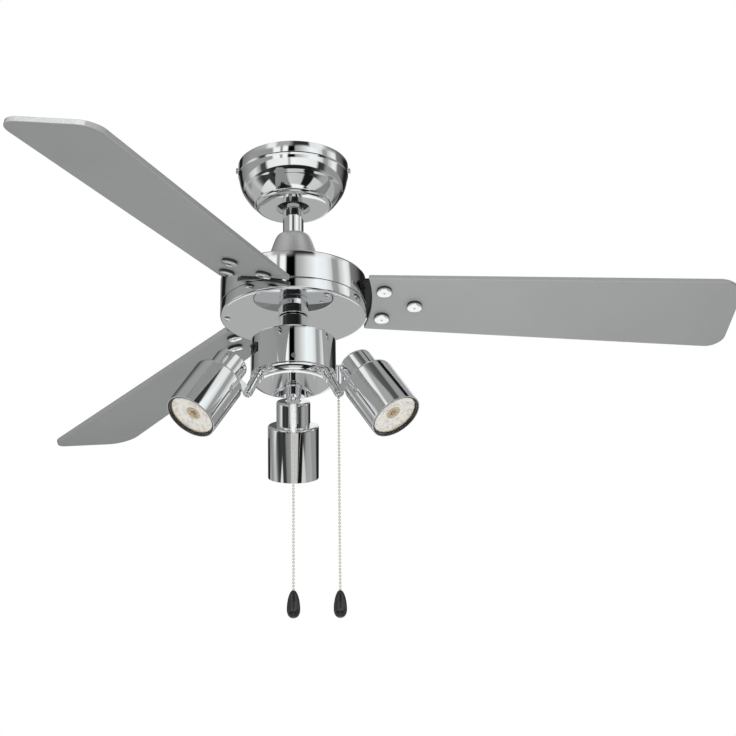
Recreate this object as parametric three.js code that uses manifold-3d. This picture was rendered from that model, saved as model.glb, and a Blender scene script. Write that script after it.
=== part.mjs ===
// Ceiling fan, 1070 mm (42 in) sweep, with three blades and a three-spot light kit.
// Millimetres, +Z up. The origin is on the ceiling plane, on the fan's axis; the fan hangs below it.
// The viewer of the product picture stands on the -Y side and looks up.
import * as THREE from 'three';
import { mergeVertices } from 'three/addons/utils/BufferGeometryUtils.js';
import Module from 'manifold-3d';

const wasm = await Module();
wasm.setup();

// ---------- driving dimensions (mm, degrees) ----------
const GAP = 0.3;                  // what seats on another piece lies this far from it
const RUNNING_GAP = 0.6;          // between a turning piece and a still one
const PAST = 1;                   // how far a cut runs past the face that it opens

const canopy = {
  rimR: 67.4, rimZ: -1, band: 14, depth: 58, wall: 1.2, holeR: 20.5, footR: 40.5, step: 0.8,
  dishIn: 21, dishH: 5, dishSwell: 1, domeIn: 7.4, domeH: 21.5, domeSwell: 0.3, ringSwell: 0.6,
};
const bracket = {
  sheet: 2.5, width: 34, strapX: 38, seatZ: -45.5, slotW: 6, slotLand: 3.3, play: 1.5,
};
const knob = { shankR: 1.8, shankL: 9, headR: 3.6, headH: 2.6, z: -7.5 };
const ball = { r: 26, z: -36, up: 16, down: 18, clearance: 0.6, slotW: 5.2, slotIn: 4.5, tab: 4 };
const pin = { r: 3, clearance: 0.3, upperZ: -30, lowerZ: -110 };
const rod = { r: 12.5, bore: 10.5, topZ: -16, bottomZ: -118 };
const yoke = { r: 17, topZ: -103, bottomZ: -150, socketZ: -119 };
const cover = {
  topZ: -96.5, bottomZ: -152, wall: 1.2, round: 4, shoulderR: 20.5, flareR: 30.5, flareH: 32,
  skirtR: 32.5, skirtH: 41, mouthR: 38, lip: 5,
};

const drum = { r: 87.5, topZ: -155, h: 50, wall: 2, edge: 2.5, lowerH: 14.5, groove: 0.6 };
const bearing = { r: 17.5, h: 8, bossWall: 3, cover: 1.5 };
const shaft = { r: 8, bore: 5, topZ: -126, bottomZ: -247 };
const rotorRing = { in: 24.5, t: 7, h: 31, play: 0.7 };
const stator = { h: 22, slots: 9, slotRim: 9.3, slotW: 7, slotIn: 27 };
const winding = { inR: 25, rim: 5.3, h: 7 };
const coverScrew = { in: 8.5, headR: 4, headH: 2.2, shankR: 2, shankL: 16, bossR: 7, bossH: 12, roof: 2 };

// Along a blade, out is measured from the drum's wall.
const blade = {
  count: 3, azimuth: 1.8, pitch: 15.1, droop: 1, offset: -5.5, t: 6, axisUp: 18.05, seatOut: 12.5,
  rootOut: 6.5, rootLead: 46.5, rootTrail: 48.7, rootArcR: 175,
  tipR: 533.5, tipLead: 59.5, tipTrail: 65.3, tipSlant: 4.8, leadCornerR: 28, trailCornerR: 24,
};
const iron = {
  t: 3, in: 20.5, neckW: 40, slotW: 44, slotPlay: 0.5, padL: 26, padW: 72, ease: 4,
  out: 72.5, tipW: 26, noseL: 12,
};
const bladeScrew = {
  rowOut: 20, rowV: 25.2, tipOut: 58, tipV: 1,
  headR: 8.5, headH: 4, washerR: 9.5, washerT: 1, shankR: 2.5,
};

const neck = { r: 18, wall: 2.5, h: 28 };
const housing = { r: 50.6, h: 47.4, wall: 1.5, edge: 2.5 };
const nut = { r: 13, h: 7 };
const housingScrew = { headR: 2.8, headH: 1.6, shankR: 1.6, up: 7 };
const plate = { r: 41.4, h: 9.8, wall: 1.5, lip: 0.8, spigot: 5, rimIn: 0.9 };
const reverse = { azimuth: 205, down: 19, w: 14, h: 12, t: 1.2, bodyW: 10.5, bodyH: 8.5, bodyD: 12 };
const slider = { w: 3.4, h: 3, out: 3.2, travel: 4, root: 6 };
const fanSwitch = { r: 14, h: 24 };
const capacitor = { w: 34, d: 20, h: 26, azimuth: 130 };
const lightSwitch = { w: 22, d: 20, h: 18, rim: 4.1 };

const chain = { r: 1.6, spans: 16 };
const nozzle = { r: 7, bore: 2.3, stubR: 5, flangeR: 8.5, flangeH: 2.7, h: 18.5, lip: 1.2 };
const elbow = { azimuth: 25, out: 8.9, down: 28, stubR: 4.5, r: 6.5, bore: 2.3, roof: 5, h: 28, collar: 2.4 };
const sleeve = { r: 3.6, bore: 2, top: 3, h: 27, tail: 9 };
const fob = { r: 7.7, h: 32, neckR: 3 };
const fanChain = { bottomZ: -545.3, inside: 15 };
const lightChain = { bottomZ: -537.5, inside: 17 };

const spot = {
  azimuths: [210, 330, 90], dip: 56, out: 85.4, down: 76.1,
  r: 31.2, frontL: 66, rearR: 20.7, rearL: 30, wall: 1.2, edge: 3.5, cableR: 3.5,
};
const lamp = { r: 25, rimR: 29.7, rimT: 3, recess: 2.5, neckR: 9.5, bodyL: 34, baseL: 18 };
const holder = { r: 14, flare: 5, end: 1.5 };
const arm = { r: 5.7, in: 5.1, down: 1.3, run: 17.8, drop: 33.8, pivotIn: 6, fork: 18 };
const knuckle = {
  bossR: 8, bossL: 8.5, stubR: 3.4, stubIn: 3, collarR: 7.2, collarL: 4, ear: 3, earR: 5.2, pinR: 2,
};

const FINE = 24;                  // sides of the large round pieces
const MID = 14;
const PLAIN = 12;                 // sides of round pieces out of sight
const SMALL = 8;

// ---------- derived levels ----------
const drumBottomZ = drum.topZ - drum.h;
const jointZ = drumBottomZ + drum.lowerH;
const neckTopZ = drumBottomZ - RUNNING_GAP - 0.4;
const housingTopZ = neckTopZ - neck.h;
const housingBottomZ = housingTopZ - housing.h;
const plateTopZ = housingBottomZ - plate.lip;
const plateBottomZ = plateTopZ - plate.h;
const bladeAxisZ = drumBottomZ + blade.axisUp;
const seatR = drum.r + blade.seatOut;              // where a blade's own frame sits on its axis
const fromSeat = (out) => out - blade.seatOut;
const ringR = drum.r - rotorRing.in;
const statorR = ringR - rotorRing.t - rotorRing.play;
const statorSlotR = statorR - stator.slotRim;
const coverScrewR = drum.r - coverScrew.in;
const canopyBottomZ = canopy.rimZ - canopy.depth;
const reverseZ = housingTopZ - reverse.down;
const elbowZ = housingTopZ - elbow.down;
const elbowRho = housing.r + elbow.out;
const lightSwitchRho = housing.r - housing.wall - lightSwitch.rim - lightSwitch.d / 2;

// ---------- materials ----------
function finish(color, roughness, metalness) {
  return new THREE.MeshStandardMaterial({ color, roughness, metalness });
}

const chrome = finish(0xe4e6e8, 0.06, 1);
const satin = finish(0xa3a5a4, 0.35, 0.9);
const zinc = finish(0xb9bcbd, 0.4, 0.8);
const silver = finish(0x9ea2a0, 0.45, 0.2);
const steel = finish(0x8f9396, 0.3, 1);
const dark = finish(0x262627, 0.45, 0.6);
const copper = finish(0xb56a38, 0.4, 0.8);
const black = finish(0x111213, 0.35, 0);
const white = finish(0xf2f0ea, 0.45, 0);
const glass = finish(0xf6efe2, 0.05, 0);

// ---------- small tools ----------
const rad = THREE.MathUtils.degToRad;
const model = new THREE.Group();

function mesh(name, geometry, material, parent = model) {
  const m = new THREE.Mesh(geometry, material);
  m.name = name;
  parent.add(m);
  return m;
}

/** Turns a closed outline of [radius, height] pairs about Z. */
function revolve(outline, sides) {
  const points = outline.map(([r, z]) => new THREE.Vector2(r, z));
  const area = THREE.ShapeUtils.area(points);
  if (area < 0) points.reverse();
  points.push(points[0].clone());
  const g = new THREE.LatheGeometry(points, sides);
  g.rotateX(Math.PI / 2);
  return g;
}

/** A corner of radius r between two directions, as [x, y] pairs on a quarter turn. */
function quarter(cx, cy, r, from, steps = 2) {
  return Array.from({ length: steps + 1 }, (_, i) => {
    const a = rad(from + (90 * i) / steps);
    return [cx + r * Math.cos(a), cy + r * Math.sin(a)];
  });
}

/** Points on a cubic curve through four [x, y] handles. */
function curve(a, b, c, d, steps) {
  const v = [a, b, c, d].map(([x, y]) => new THREE.Vector2(x, y));
  return new THREE.CubicBezierCurve(...v).getPoints(steps).map((p) => [p.x, p.y]);
}

/** A wall between two [radius, height] pairs: straight at swell 0, well rounded outwards at swell 1. */
function bulge([r0, z0], [r1, z1], swell, steps) {
  const at = (u, v) => [r0 + u * (r1 - r0), z0 + v * (z1 - z0)];
  const low = at((1 + swell / 2) / 3, (1 - 3 * swell / 4) / 3);
  const high = at((2 + 3 * swell / 4) / 3, (2 - swell / 2) / 3);
  return curve(at(0, 0), low, high, at(1, 1), steps);
}

/** A cylinder along Z from z0 to z1. */
function rodZ(r, z0, z1, sides = SMALL) {
  const g = new THREE.CylinderGeometry(r, r, Math.abs(z1 - z0), sides);
  g.rotateX(Math.PI / 2);
  g.translate(0, 0, (z0 + z1) / 2);
  return g;
}

/** A round hole along Z whose flats still clear the radius r. */
function holeZ(r, z0, z1, sides = SMALL) {
  return rodZ(r / Math.cos(Math.PI / sides), z0, z1, sides);
}

function block(w, d, h, x, y, z) {
  const g = new THREE.BoxGeometry(w, d, h);
  g.translate(x, y, z);
  return g;
}

function plateOf(shape, t, curveSegments = 6) {
  return new THREE.ExtrudeGeometry(shape, { depth: t, bevelEnabled: false, curveSegments });
}

function solid(geometry) {
  const g = geometry.clone();
  g.deleteAttribute('normal');
  g.deleteAttribute('uv');
  const m = mergeVertices(g, 1e-4);
  return new wasm.Manifold(new wasm.Mesh({
    numProp: 3,
    vertProperties: new Float32Array(m.attributes.position.array),
    triVerts: new Uint32Array(m.index.array),
  }));
}

function geometryOf(manifold) {
  const m = manifold.getMesh();
  const g = new THREE.BufferGeometry();
  g.setAttribute('position', new THREE.BufferAttribute(new Float32Array(m.vertProperties), 3));
  g.setIndex(new THREE.BufferAttribute(new Uint32Array(m.triVerts), 1));
  g.computeVertexNormals();
  return g;
}

function join(first, ...rest) {
  return geometryOf(rest.reduce((sum, g) => sum.add(solid(g)), solid(first)));
}

function cut(body, ...tools) {
  return geometryOf(tools.reduce((left, g) => left.subtract(solid(g)), solid(body)));
}

/** The geometry moved by a rotation about Z, in degrees. */
function turned(geometry, degrees) {
  return geometry.clone().rotateZ(rad(degrees));
}

/** A group whose local X, Y and Z point along the given world directions. */
function frameAt(origin, x, y, z, parent = model) {
  const g = new THREE.Group();
  g.quaternion.setFromRotationMatrix(new THREE.Matrix4().makeBasis(x, y, z));
  g.position.copy(origin);
  parent.add(g);
  return g;
}

// ---------- ceiling bracket and canopy ----------
function ceilingBracket() {
  const b = bracket;
  const flangeX = canopy.rimR - canopy.wall - GAP - b.sheet - b.play;
  const seatBottom = b.seatZ - b.sheet;
  const body = join(
    block(2 * flangeX, b.width, b.sheet, 0, 0, -b.sheet / 2),
    block(b.sheet, b.width, -seatBottom, b.strapX, 0, seatBottom / 2),
    block(b.sheet, b.width, -seatBottom, -b.strapX, 0, seatBottom / 2),
    block(2 * b.strapX, b.width, b.sheet, 0, 0, b.seatZ - b.sheet / 2),
    block(b.sheet, b.width, 2 * -knob.z, flangeX - b.sheet / 2, 0, knob.z),
    block(b.sheet, b.width, 2 * -knob.z, -flangeX + b.sheet / 2, 0, knob.z),
    block(b.strapX - ball.r + ball.slotIn - GAP, ball.tab, ball.tab,
      -(b.strapX + ball.r - ball.slotIn + GAP) / 2, 0, ball.z),
  );
  const seat = new THREE.SphereGeometry(ball.r + ball.clearance, 2 * PLAIN, 2 * PLAIN);
  seat.translate(0, 0, ball.z);
  const slotFrom = b.strapX + b.sheet / 2 + b.slotLand;
  const slotTo = flangeX - b.slotLand;
  const slotX = (slotFrom + slotTo) / 2;
  const slot = block(slotTo - slotFrom, b.slotW, 4 * b.sheet, slotX, 0, -b.sheet / 2);
  const wireHole = rodZ(b.slotW, -3 * b.sheet, b.sheet).translate(b.strapX / 2, 0, 0);
  const screwWay = rodZ(knob.shankR + GAP, -canopy.rimR, canopy.rimR)
    .rotateY(Math.PI / 2).translate(0, 0, knob.z);
  const ends = cut(body, seat, slot, slot.clone().translate(-2 * slotX, 0, 0),
    wireHole, wireHole.clone().translate(-b.strapX, 0, 0));
  return cut(ends, screwWay);
}

function canopyShell() {
  const c = canopy;
  const bandZ = c.rimZ - c.band;
  const up = (h) => canopyBottomZ + h;
  const dishR = c.rimR - c.dishIn;
  const domeR = c.rimR - c.domeIn;
  const outer = [
    [c.holeR, up(0)],
    ...bulge([c.footR, up(0)], [dishR, up(c.dishH)], c.dishSwell, 2),
    ...bulge([dishR + c.step, up(c.dishH)], [domeR, up(c.domeH)], c.domeSwell, 3),
    ...bulge([domeR + c.step, up(c.domeH + c.step)], [c.rimR - c.step, bandZ - 2 * c.step], c.ringSwell, 2),
    [c.rimR, bandZ],
    [c.rimR, c.rimZ],
  ];
  const inner = [
    [c.rimR - c.wall, c.rimZ],
    [c.rimR - c.wall, bandZ - c.wall],
    [domeR - c.wall, up(c.domeH)],
    [dishR - c.wall, up(c.dishH + c.wall)],
    [c.footR, up(c.wall)],
    [c.holeR, up(c.wall)],
  ];
  const shell = revolve([...outer, ...inner], FINE);
  const screwWay = rodZ(knob.shankR + GAP, -2 * c.rimR, 2 * c.rimR)
    .rotateY(Math.PI / 2).translate(0, 0, knob.z);
  return cut(shell, screwWay);
}

function canopyScrew(side) {
  const k = knob;
  const start = canopy.rimR + GAP;
  const end = start - k.shankL;
  const profile = [
    [0, end], [k.shankR, end], [k.shankR, start], [k.headR, start],
    [k.headR, start + k.headH - 1], [k.headR - 1, start + k.headH], [0, start + k.headH],
  ];
  const g = revolve(profile, SMALL);
  g.rotateY(side * Math.PI / 2);
  g.translate(0, 0, k.z);
  return g;
}

mesh('ceiling_bracket', ceilingBracket(), steel);
mesh('canopy', canopyShell(), chrome);
mesh('canopy_screw_right', canopyScrew(1), chrome);
mesh('canopy_screw_left', canopyScrew(-1), chrome);

// ---------- hanger ball, downrod, yoke and coupling cover ----------
function crossHole(r, z, reach) {
  return rodZ(r, -reach, reach).rotateX(Math.PI / 2).translate(0, 0, z);
}

function hangerBall() {
  const { r, z, up, down } = ball;
  const levels = Array.from({ length: 7 }, (_, i) => -down + ((up + down) * i) / 6);
  const outer = levels.map((h) => [Math.sqrt(r * r - h * h), z + h]);
  const bore = rod.r + GAP;
  const body = revolve([[bore, z - down], ...outer, [bore, z + up]], MID);
  const slot = block(2 * ball.slotIn, ball.slotW, 3 * r, -r, 0, z);
  return cut(body, crossHole(pin.r + pin.clearance, pin.upperZ, 2 * r), slot);
}

function tube(r, bore, z0, z1, sides) {
  return revolve([[bore, z0], [r, z0], [r, z1], [bore, z1]], sides);
}

function downrod() {
  const g = tube(rod.r, rod.bore, rod.bottomZ, rod.topZ, MID);
  return cut(g, crossHole(pin.r + pin.clearance, pin.upperZ, 2 * rod.r),
    crossHole(pin.r + pin.clearance, pin.lowerZ, 2 * rod.r));
}

function motorYoke() {
  const y = yoke;
  const body = revolve([
    [rod.r + GAP, y.topZ], [y.r, y.topZ], [y.r, y.bottomZ + 12], [y.r + 4, y.bottomZ + 8], [y.r + 4, y.bottomZ],
    [shaft.r + GAP, y.bottomZ], [shaft.r + GAP, y.socketZ], [rod.r + GAP, y.socketZ],
  ], MID);
  return cut(body, crossHole(pin.r + pin.clearance, pin.lowerZ, 2 * y.r));
}

function couplingCover() {
  const c = cover;
  const seam = rod.r + GAP;
  const down = (h) => c.topZ - h;
  const outer = [
    [seam, down(0)],
    [c.shoulderR - c.round, down(0)],
    ...curve([c.shoulderR - c.wall, down(c.wall)], [c.shoulderR + c.round / 2, down(c.round)],
      [c.flareR - c.round, down(0.6 * c.flareH)], [c.flareR, down(c.flareH)], 4),
    [c.skirtR, down(c.skirtH)],
    [c.mouthR, c.bottomZ + c.lip],
    [c.mouthR, c.bottomZ],
  ];
  const inner = [
    [c.mouthR - c.wall, c.bottomZ],
    [c.mouthR - c.wall, c.bottomZ + c.lip],
    [c.flareR - 1.4 * c.wall, down(c.flareH)],
    [c.shoulderR - c.wall, down(c.round + c.wall)],
    [c.shoulderR - c.round, down(c.wall)],
    [seam, down(c.wall)],
  ];
  return revolve([...outer, ...inner], MID);
}

mesh('hanger_ball', hangerBall(), dark);
const ballHalf = Math.sqrt(ball.r ** 2 - (pin.upperZ - ball.z) ** 2);
mesh('hanger_pin', crossHole(pin.r, pin.upperZ, ballHalf - 1), steel);
mesh('downrod', downrod(), chrome);
mesh('yoke', motorYoke(), zinc);
mesh('yoke_pin', crossHole(pin.r, pin.lowerZ, yoke.r), steel);
mesh('coupling_cover', couplingCover(), satin);

// ---------- motor: still parts ----------
const statorZ = drum.topZ - drum.wall - bearing.h - 3;

/** One bar for each slot of the core, smaller all round by play, and past both faces by over. */
function statorBars(play, over) {
  const s = stator;
  const length = statorSlotR - s.slotIn - 2 * play;
  const middle = (statorSlotR + s.slotIn) / 2;
  const bar = block(length, s.slotW - 2 * play, s.h + 2 * over, middle, 0, statorZ - s.h / 2);
  return Array.from({ length: s.slots }, (_, i) => turned(bar, (360 * i) / s.slots));
}

function statorCore() {
  const s = stator;
  const shape = new THREE.Shape();
  shape.absarc(0, 0, statorR, 0, 2 * Math.PI);
  const bore = new THREE.Path();
  bore.absarc(0, 0, shaft.r + GAP, 0, 2 * Math.PI, true);
  shape.holes.push(bore);
  const core = plateOf(shape, s.h, SMALL).translate(0, 0, statorZ - s.h);
  return cut(core, ...statorBars(0, s.h));
}

function statorWinding() {
  const s = stator;
  const ring = (z) => tube(statorR - winding.rim, winding.inR, z, z + winding.h, PLAIN);
  return join(ring(statorZ + GAP), ring(statorZ - s.h - winding.h - GAP), ...statorBars(GAP, winding.h));
}

const upperBearingZ = drum.topZ - drum.wall - GAP;
const lowerBearingZ = drumBottomZ + drum.wall + GAP + bearing.h;
mesh('motor_shaft', tube(shaft.r, shaft.bore, shaft.bottomZ, shaft.topZ, PLAIN), steel);
mesh('stator_core', statorCore(), steel);
mesh('stator_winding', statorWinding(), copper);
mesh('upper_bearing', tube(bearing.r, shaft.r + GAP, upperBearingZ - bearing.h, upperBearingZ, PLAIN), steel);
mesh('lower_bearing', tube(bearing.r, shaft.r + GAP, lowerBearingZ - bearing.h, lowerBearingZ, PLAIN), steel);

// ---------- motor: the turning drum ----------
const bladeAzimuth = (k) => blade.azimuth + (360 * k) / blade.count;

/** The local frame of blade k: X runs out along the blade, Z is square to its pitched underside. */
function bladeFrame(k) {
  const hub = new THREE.Group();
  hub.rotation.z = rad(bladeAzimuth(k));
  const seat = new THREE.Group();
  seat.position.set(seatR, blade.offset, bladeAxisZ);
  seat.rotation.set(-rad(blade.pitch), rad(blade.droop), 0, 'YXZ');
  hub.add(seat);
  model.add(hub);
  hub.updateMatrixWorld(true);
  return seat;
}
const bladeFrames = Array.from({ length: blade.count }, (_, k) => bladeFrame(k));
const inFrame = (geometry, frame) => geometry.clone().applyMatrix4(frame.matrixWorld);
const ironZ = blade.t + GAP;                       // underside of an iron in its blade's frame

function drumBoss(length, z, degrees) {
  return turned(rodZ(coverScrew.bossR, z, z + length, SMALL).translate(coverScrewR, 0, 0), degrees);
}
const screwAngles = [60, 180, 300];

function screwHolesAt(z0, z1) {
  const hole = rodZ(coverScrew.shankR + GAP, z0, z1).translate(coverScrewR, 0, 0);
  return screwAngles.map((a) => turned(hole, a));
}

function motorShell() {
  const d = drum;
  const bossR = bearing.r + RUNNING_GAP + bearing.bossWall;
  const lowZ = jointZ + d.groove / 2;
  const inR = d.r - d.wall;
  const under = d.topZ - d.wall;
  const skin = revolve([
    [shaft.r + bearing.cover, d.topZ], ...quarter(d.r - d.edge, d.topZ - d.edge, d.edge, 0).reverse(),
    [d.r, lowZ], [inR, lowZ], [inR, under], [bossR, under], [bossR, under - bearing.h - GAP],
    [bossR - bearing.bossWall, under - bearing.h - GAP], [bossR - bearing.bossWall, under],
    [shaft.r + bearing.cover, under],
  ], FINE);
  const bosses = screwAngles.map((a) => drumBoss(coverScrew.bossH, lowZ, a));
  const slotH = iron.t + 2 * iron.slotPlay;
  const window = block(10 * d.wall, iron.slotW, slotH, fromSeat(0), 0, ironZ + iron.t / 2);
  const windows = bladeFrames.map((f) => inFrame(window, f));
  const screwHoles = screwHolesAt(lowZ - PAST, lowZ + coverScrew.bossH - coverScrew.roof);
  const rim = rodZ(d.r, d.topZ, lowZ, FINE);
  const trimmed = geometryOf(solid(join(skin, ...bosses)).intersect(solid(rim)));
  return cut(trimmed, ...windows, ...screwHoles);
}

function bottomCover() {
  const d = drum;
  const bossR = bearing.r + RUNNING_GAP + bearing.bossWall;
  const topZ = jointZ - d.groove / 2;
  const inR = d.r - d.wall;
  const floor = drumBottomZ + d.wall;
  const skin = revolve([
    [shaft.r + bearing.cover, drumBottomZ], ...quarter(d.r - d.edge, drumBottomZ + d.edge, d.edge, 270),
    [d.r, topZ], [inR, topZ], [inR, floor], [bossR, floor], [bossR, floor + bearing.h + GAP],
    [bossR - bearing.bossWall, floor + bearing.h + GAP], [bossR - bearing.bossWall, floor],
    [shaft.r + bearing.cover, floor],
  ], FINE);
  const pillarR = (drum.r - iron.in + inR) / 2;
  const room = 2 * drum.h;
  const post = rodZ(coverScrew.bossR, drumBottomZ + d.wall / 2, bladeAxisZ + 2 * coverScrew.bossR)
    .translate(pillarR, 0, 0);
  const above = block(room, room, room, pillarR - seatR, 0, ironZ - GAP + room / 2);
  const pillars = bladeFrames.map((f, k) => cut(turned(post, bladeAzimuth(k)), inFrame(above, f)));
  return cut(join(skin, ...pillars), ...screwHolesAt(drumBottomZ - PAST, floor + PAST));
}

function drumScrew(degrees) {
  const s = coverScrew;
  const z = drumBottomZ - GAP;
  const g = revolve([
    [0, z - s.headH], [s.headR * 0.6, z - s.headH], [s.headR, z - s.headH * 0.4], [s.headR, z],
    [s.shankR, z], [s.shankR, z + s.shankL + GAP], [0, z + s.shankL + GAP],
  ], SMALL);
  return turned(g.translate(coverScrewR, 0, 0), degrees);
}

const ringTopZ = drum.topZ - drum.wall - GAP;
mesh('motor_shell', motorShell(), chrome);
mesh('bottom_cover', bottomCover(), chrome);
mesh('rotor_ring', tube(ringR, ringR - rotorRing.t, ringTopZ - rotorRing.h, ringTopZ, FINE), steel);
screwAngles.forEach((a, i) => mesh(`cover_screw_${i + 1}`, drumScrew(a), chrome));

// ---------- blades and blade irons ----------
const screwPlaces = [
  [bladeScrew.rowOut, bladeScrew.rowV], [bladeScrew.rowOut, -bladeScrew.rowV], [bladeScrew.tipOut, bladeScrew.tipV],
].map(([out, v]) => [fromSeat(out), v]);

/** Adds a rounded corner of radius r at p, between the lines from a and to b. */
function roundCorner(shape, a, p, b, r) {
  const [va, vp, vb] = [a, p, b].map(([x, y]) => new THREE.Vector2(x, y));
  const toA = va.clone().sub(vp).normalize();
  const toB = vb.clone().sub(vp).normalize();
  const half = Math.acos(toA.dot(toB)) / 2;
  const reach = r / Math.tan(half);
  const start = vp.clone().addScaledVector(toA, reach);
  const end = vp.clone().addScaledVector(toB, reach);
  const bulge = reach * (4 / 3) * Math.tan((Math.PI / 2 - half) / 2) / Math.tan(Math.PI / 2 - half);
  shape.lineTo(start.x, start.y);
  const c1 = start.clone().addScaledVector(toA, -bulge);
  const c2 = end.clone().addScaledVector(toB, -bulge);
  shape.bezierCurveTo(c1.x, c1.y, c2.x, c2.y, end.x, end.y);
}

function bladeBoard() {
  const b = blade;
  const root = fromSeat(b.rootOut);
  const tip = b.tipR - seatR;
  const sag = (half) => b.rootArcR - Math.sqrt(b.rootArcR ** 2 - half ** 2);
  const rootLead = [root - sag(b.rootLead), -b.rootLead];
  const rootTrail = [root - sag(b.rootTrail), b.rootTrail];
  const tipLead = [tip + b.tipSlant, -b.tipLead];
  const tipTrail = [tip - b.tipSlant, b.tipTrail];
  const shape = new THREE.Shape();
  shape.moveTo(root, 0);
  shape.quadraticCurveTo(root, -b.rootLead / 2, ...rootLead);
  roundCorner(shape, rootLead, tipLead, tipTrail, b.leadCornerR);
  roundCorner(shape, tipLead, tipTrail, rootTrail, b.trailCornerR);
  shape.lineTo(...rootTrail);
  shape.quadraticCurveTo(root, b.rootTrail / 2, root, 0);
  const holes = screwPlaces.map(([x, y]) => rodZ(bladeScrew.shankR + GAP, -PAST, b.t + PAST).translate(x, y, 0));
  return cut(plateOf(shape, b.t), ...holes);
}

function bladeIron() {
  const i = iron;
  const s = bladeScrew;
  const inner = fromSeat(-i.in);
  const row = fromSeat(s.rowOut);
  const tip = fromSeat(i.out);
  const padIn = row - i.padL / 2;
  const padOut = row + i.padL / 2;
  const shape = new THREE.Shape();
  shape.moveTo(inner, -i.neckW / 2);
  shape.lineTo(padIn - i.ease, -i.neckW / 2);
  shape.bezierCurveTo(padIn + i.ease, -i.padW / 2, padOut, -i.padW / 2, padOut + i.ease, -i.padW / 4);
  shape.quadraticCurveTo(tip - i.noseL, -i.tipW / 2, tip - i.ease, -i.tipW / 4);
  shape.quadraticCurveTo(tip, 0, tip - i.ease, i.tipW / 4);
  shape.quadraticCurveTo(tip - i.noseL, i.tipW / 2, padOut + i.ease, i.padW / 4);
  shape.bezierCurveTo(padOut, i.padW / 2, padIn + i.ease, i.padW / 2, padIn - i.ease, i.neckW / 2);
  shape.lineTo(inner, i.neckW / 2);
  shape.closePath();
  const tongue = plateOf(shape, i.t, 4).translate(0, 0, ironZ);
  const washerZ = -GAP - s.washerT;
  const studs = screwPlaces.map(([x, y]) => revolve([
    [0, ironZ + 1], [s.shankR, ironZ + 1], [s.shankR, -GAP], [s.washerR, -GAP], [s.washerR, washerZ],
    [s.headR, washerZ], [s.headR / 2, washerZ - s.headH], [0, washerZ - s.headH],
  ], SMALL).translate(x, y, 0));
  return join(tongue, ...studs);
}

const board = bladeBoard();
const tongue = bladeIron();
bladeFrames.forEach((frame, k) => {
  mesh(`blade_iron_${k + 1}`, tongue, dark, frame);
  mesh(`blade_${k + 1}`, board, silver, frame);
});

// ---------- switch housing ----------
function switchNeck() {
  const { r, wall } = neck;
  return revolve([
    [shaft.r + GAP, neckTopZ], [r, neckTopZ], [r, housingTopZ + GAP], [r - wall, housingTopZ + GAP],
    [r - wall, neckTopZ - wall], [shaft.r + GAP, neckTopZ - wall],
  ], MID);
}

/** A hole along the radius at the given angle and height, out through the housing wall. */
function radialHole(r, degrees, z) {
  return turned(holeZ(r, 0, 12).rotateY(Math.PI / 2).translate(housing.r - 8, 0, z), degrees);
}

const housingScrewZ = housingBottomZ + housingScrew.up;
function switchHousing() {
  const h = housing;
  const inR = h.r - h.wall;
  const skin = revolve([
    [shaft.r + GAP, housingTopZ], ...quarter(h.r - h.edge, housingTopZ - h.edge, h.edge, 0).reverse(),
    [h.r, housingBottomZ], [inR, housingBottomZ], [inR, housingTopZ - h.wall],
    [shaft.r + GAP, housingTopZ - h.wall],
  ], FINE);
  const switchWindow = turned(
    block(reverse.bodyD, reverse.bodyW + 2 * GAP, reverse.bodyH + 2 * GAP, h.r, 0, reverseZ), reverse.azimuth);
  return cut(skin, switchWindow, radialHole(elbow.stubR + GAP, elbow.azimuth, elbowZ),
    radialHole(housingScrew.shankR + GAP, 270, housingScrewZ));
}

function frontScrew() {
  const s = housingScrew;
  const g = revolve([
    [0, -6], [s.shankR, -6], [s.shankR, GAP], [s.headR, GAP], [s.headR, GAP + s.headH * 0.6],
    [s.headR * 0.6, GAP + s.headH], [0, GAP + s.headH],
  ], SMALL);
  return turned(g.rotateY(Math.PI / 2).translate(housing.r, 0, housingScrewZ), 270);
}

/** The direction and the points of a spot's arm, in the upright plane of its azimuth. */
function armLine(degrees) {
  const out = new THREE.Vector3(Math.cos(rad(degrees)), Math.sin(rad(degrees)), 0);
  const up = new THREE.Vector3(0, 0, 1);
  const at = (rho, z) => out.clone().multiplyScalar(rho).addScaledVector(up, z);
  const rootRho = housing.r - arm.in;
  const rootZ = plateTopZ - arm.down;
  const root = at(rootRho, rootZ);
  const tip = at(rootRho + arm.run, rootZ - arm.drop);
  const along = tip.clone().sub(root).normalize();
  const side = new THREE.Vector3().crossVectors(up, out);
  return { out, up, at, root, tip, along, side };
}

function armFrame(degrees, parent = model) {
  const { root, along, side } = armLine(degrees);
  return frameAt(root, side, new THREE.Vector3().crossVectors(along, side), along, parent);
}
const armLength = armLine(0).tip.distanceTo(armLine(0).root);
const collarStart = knuckle.bossL;

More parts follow.
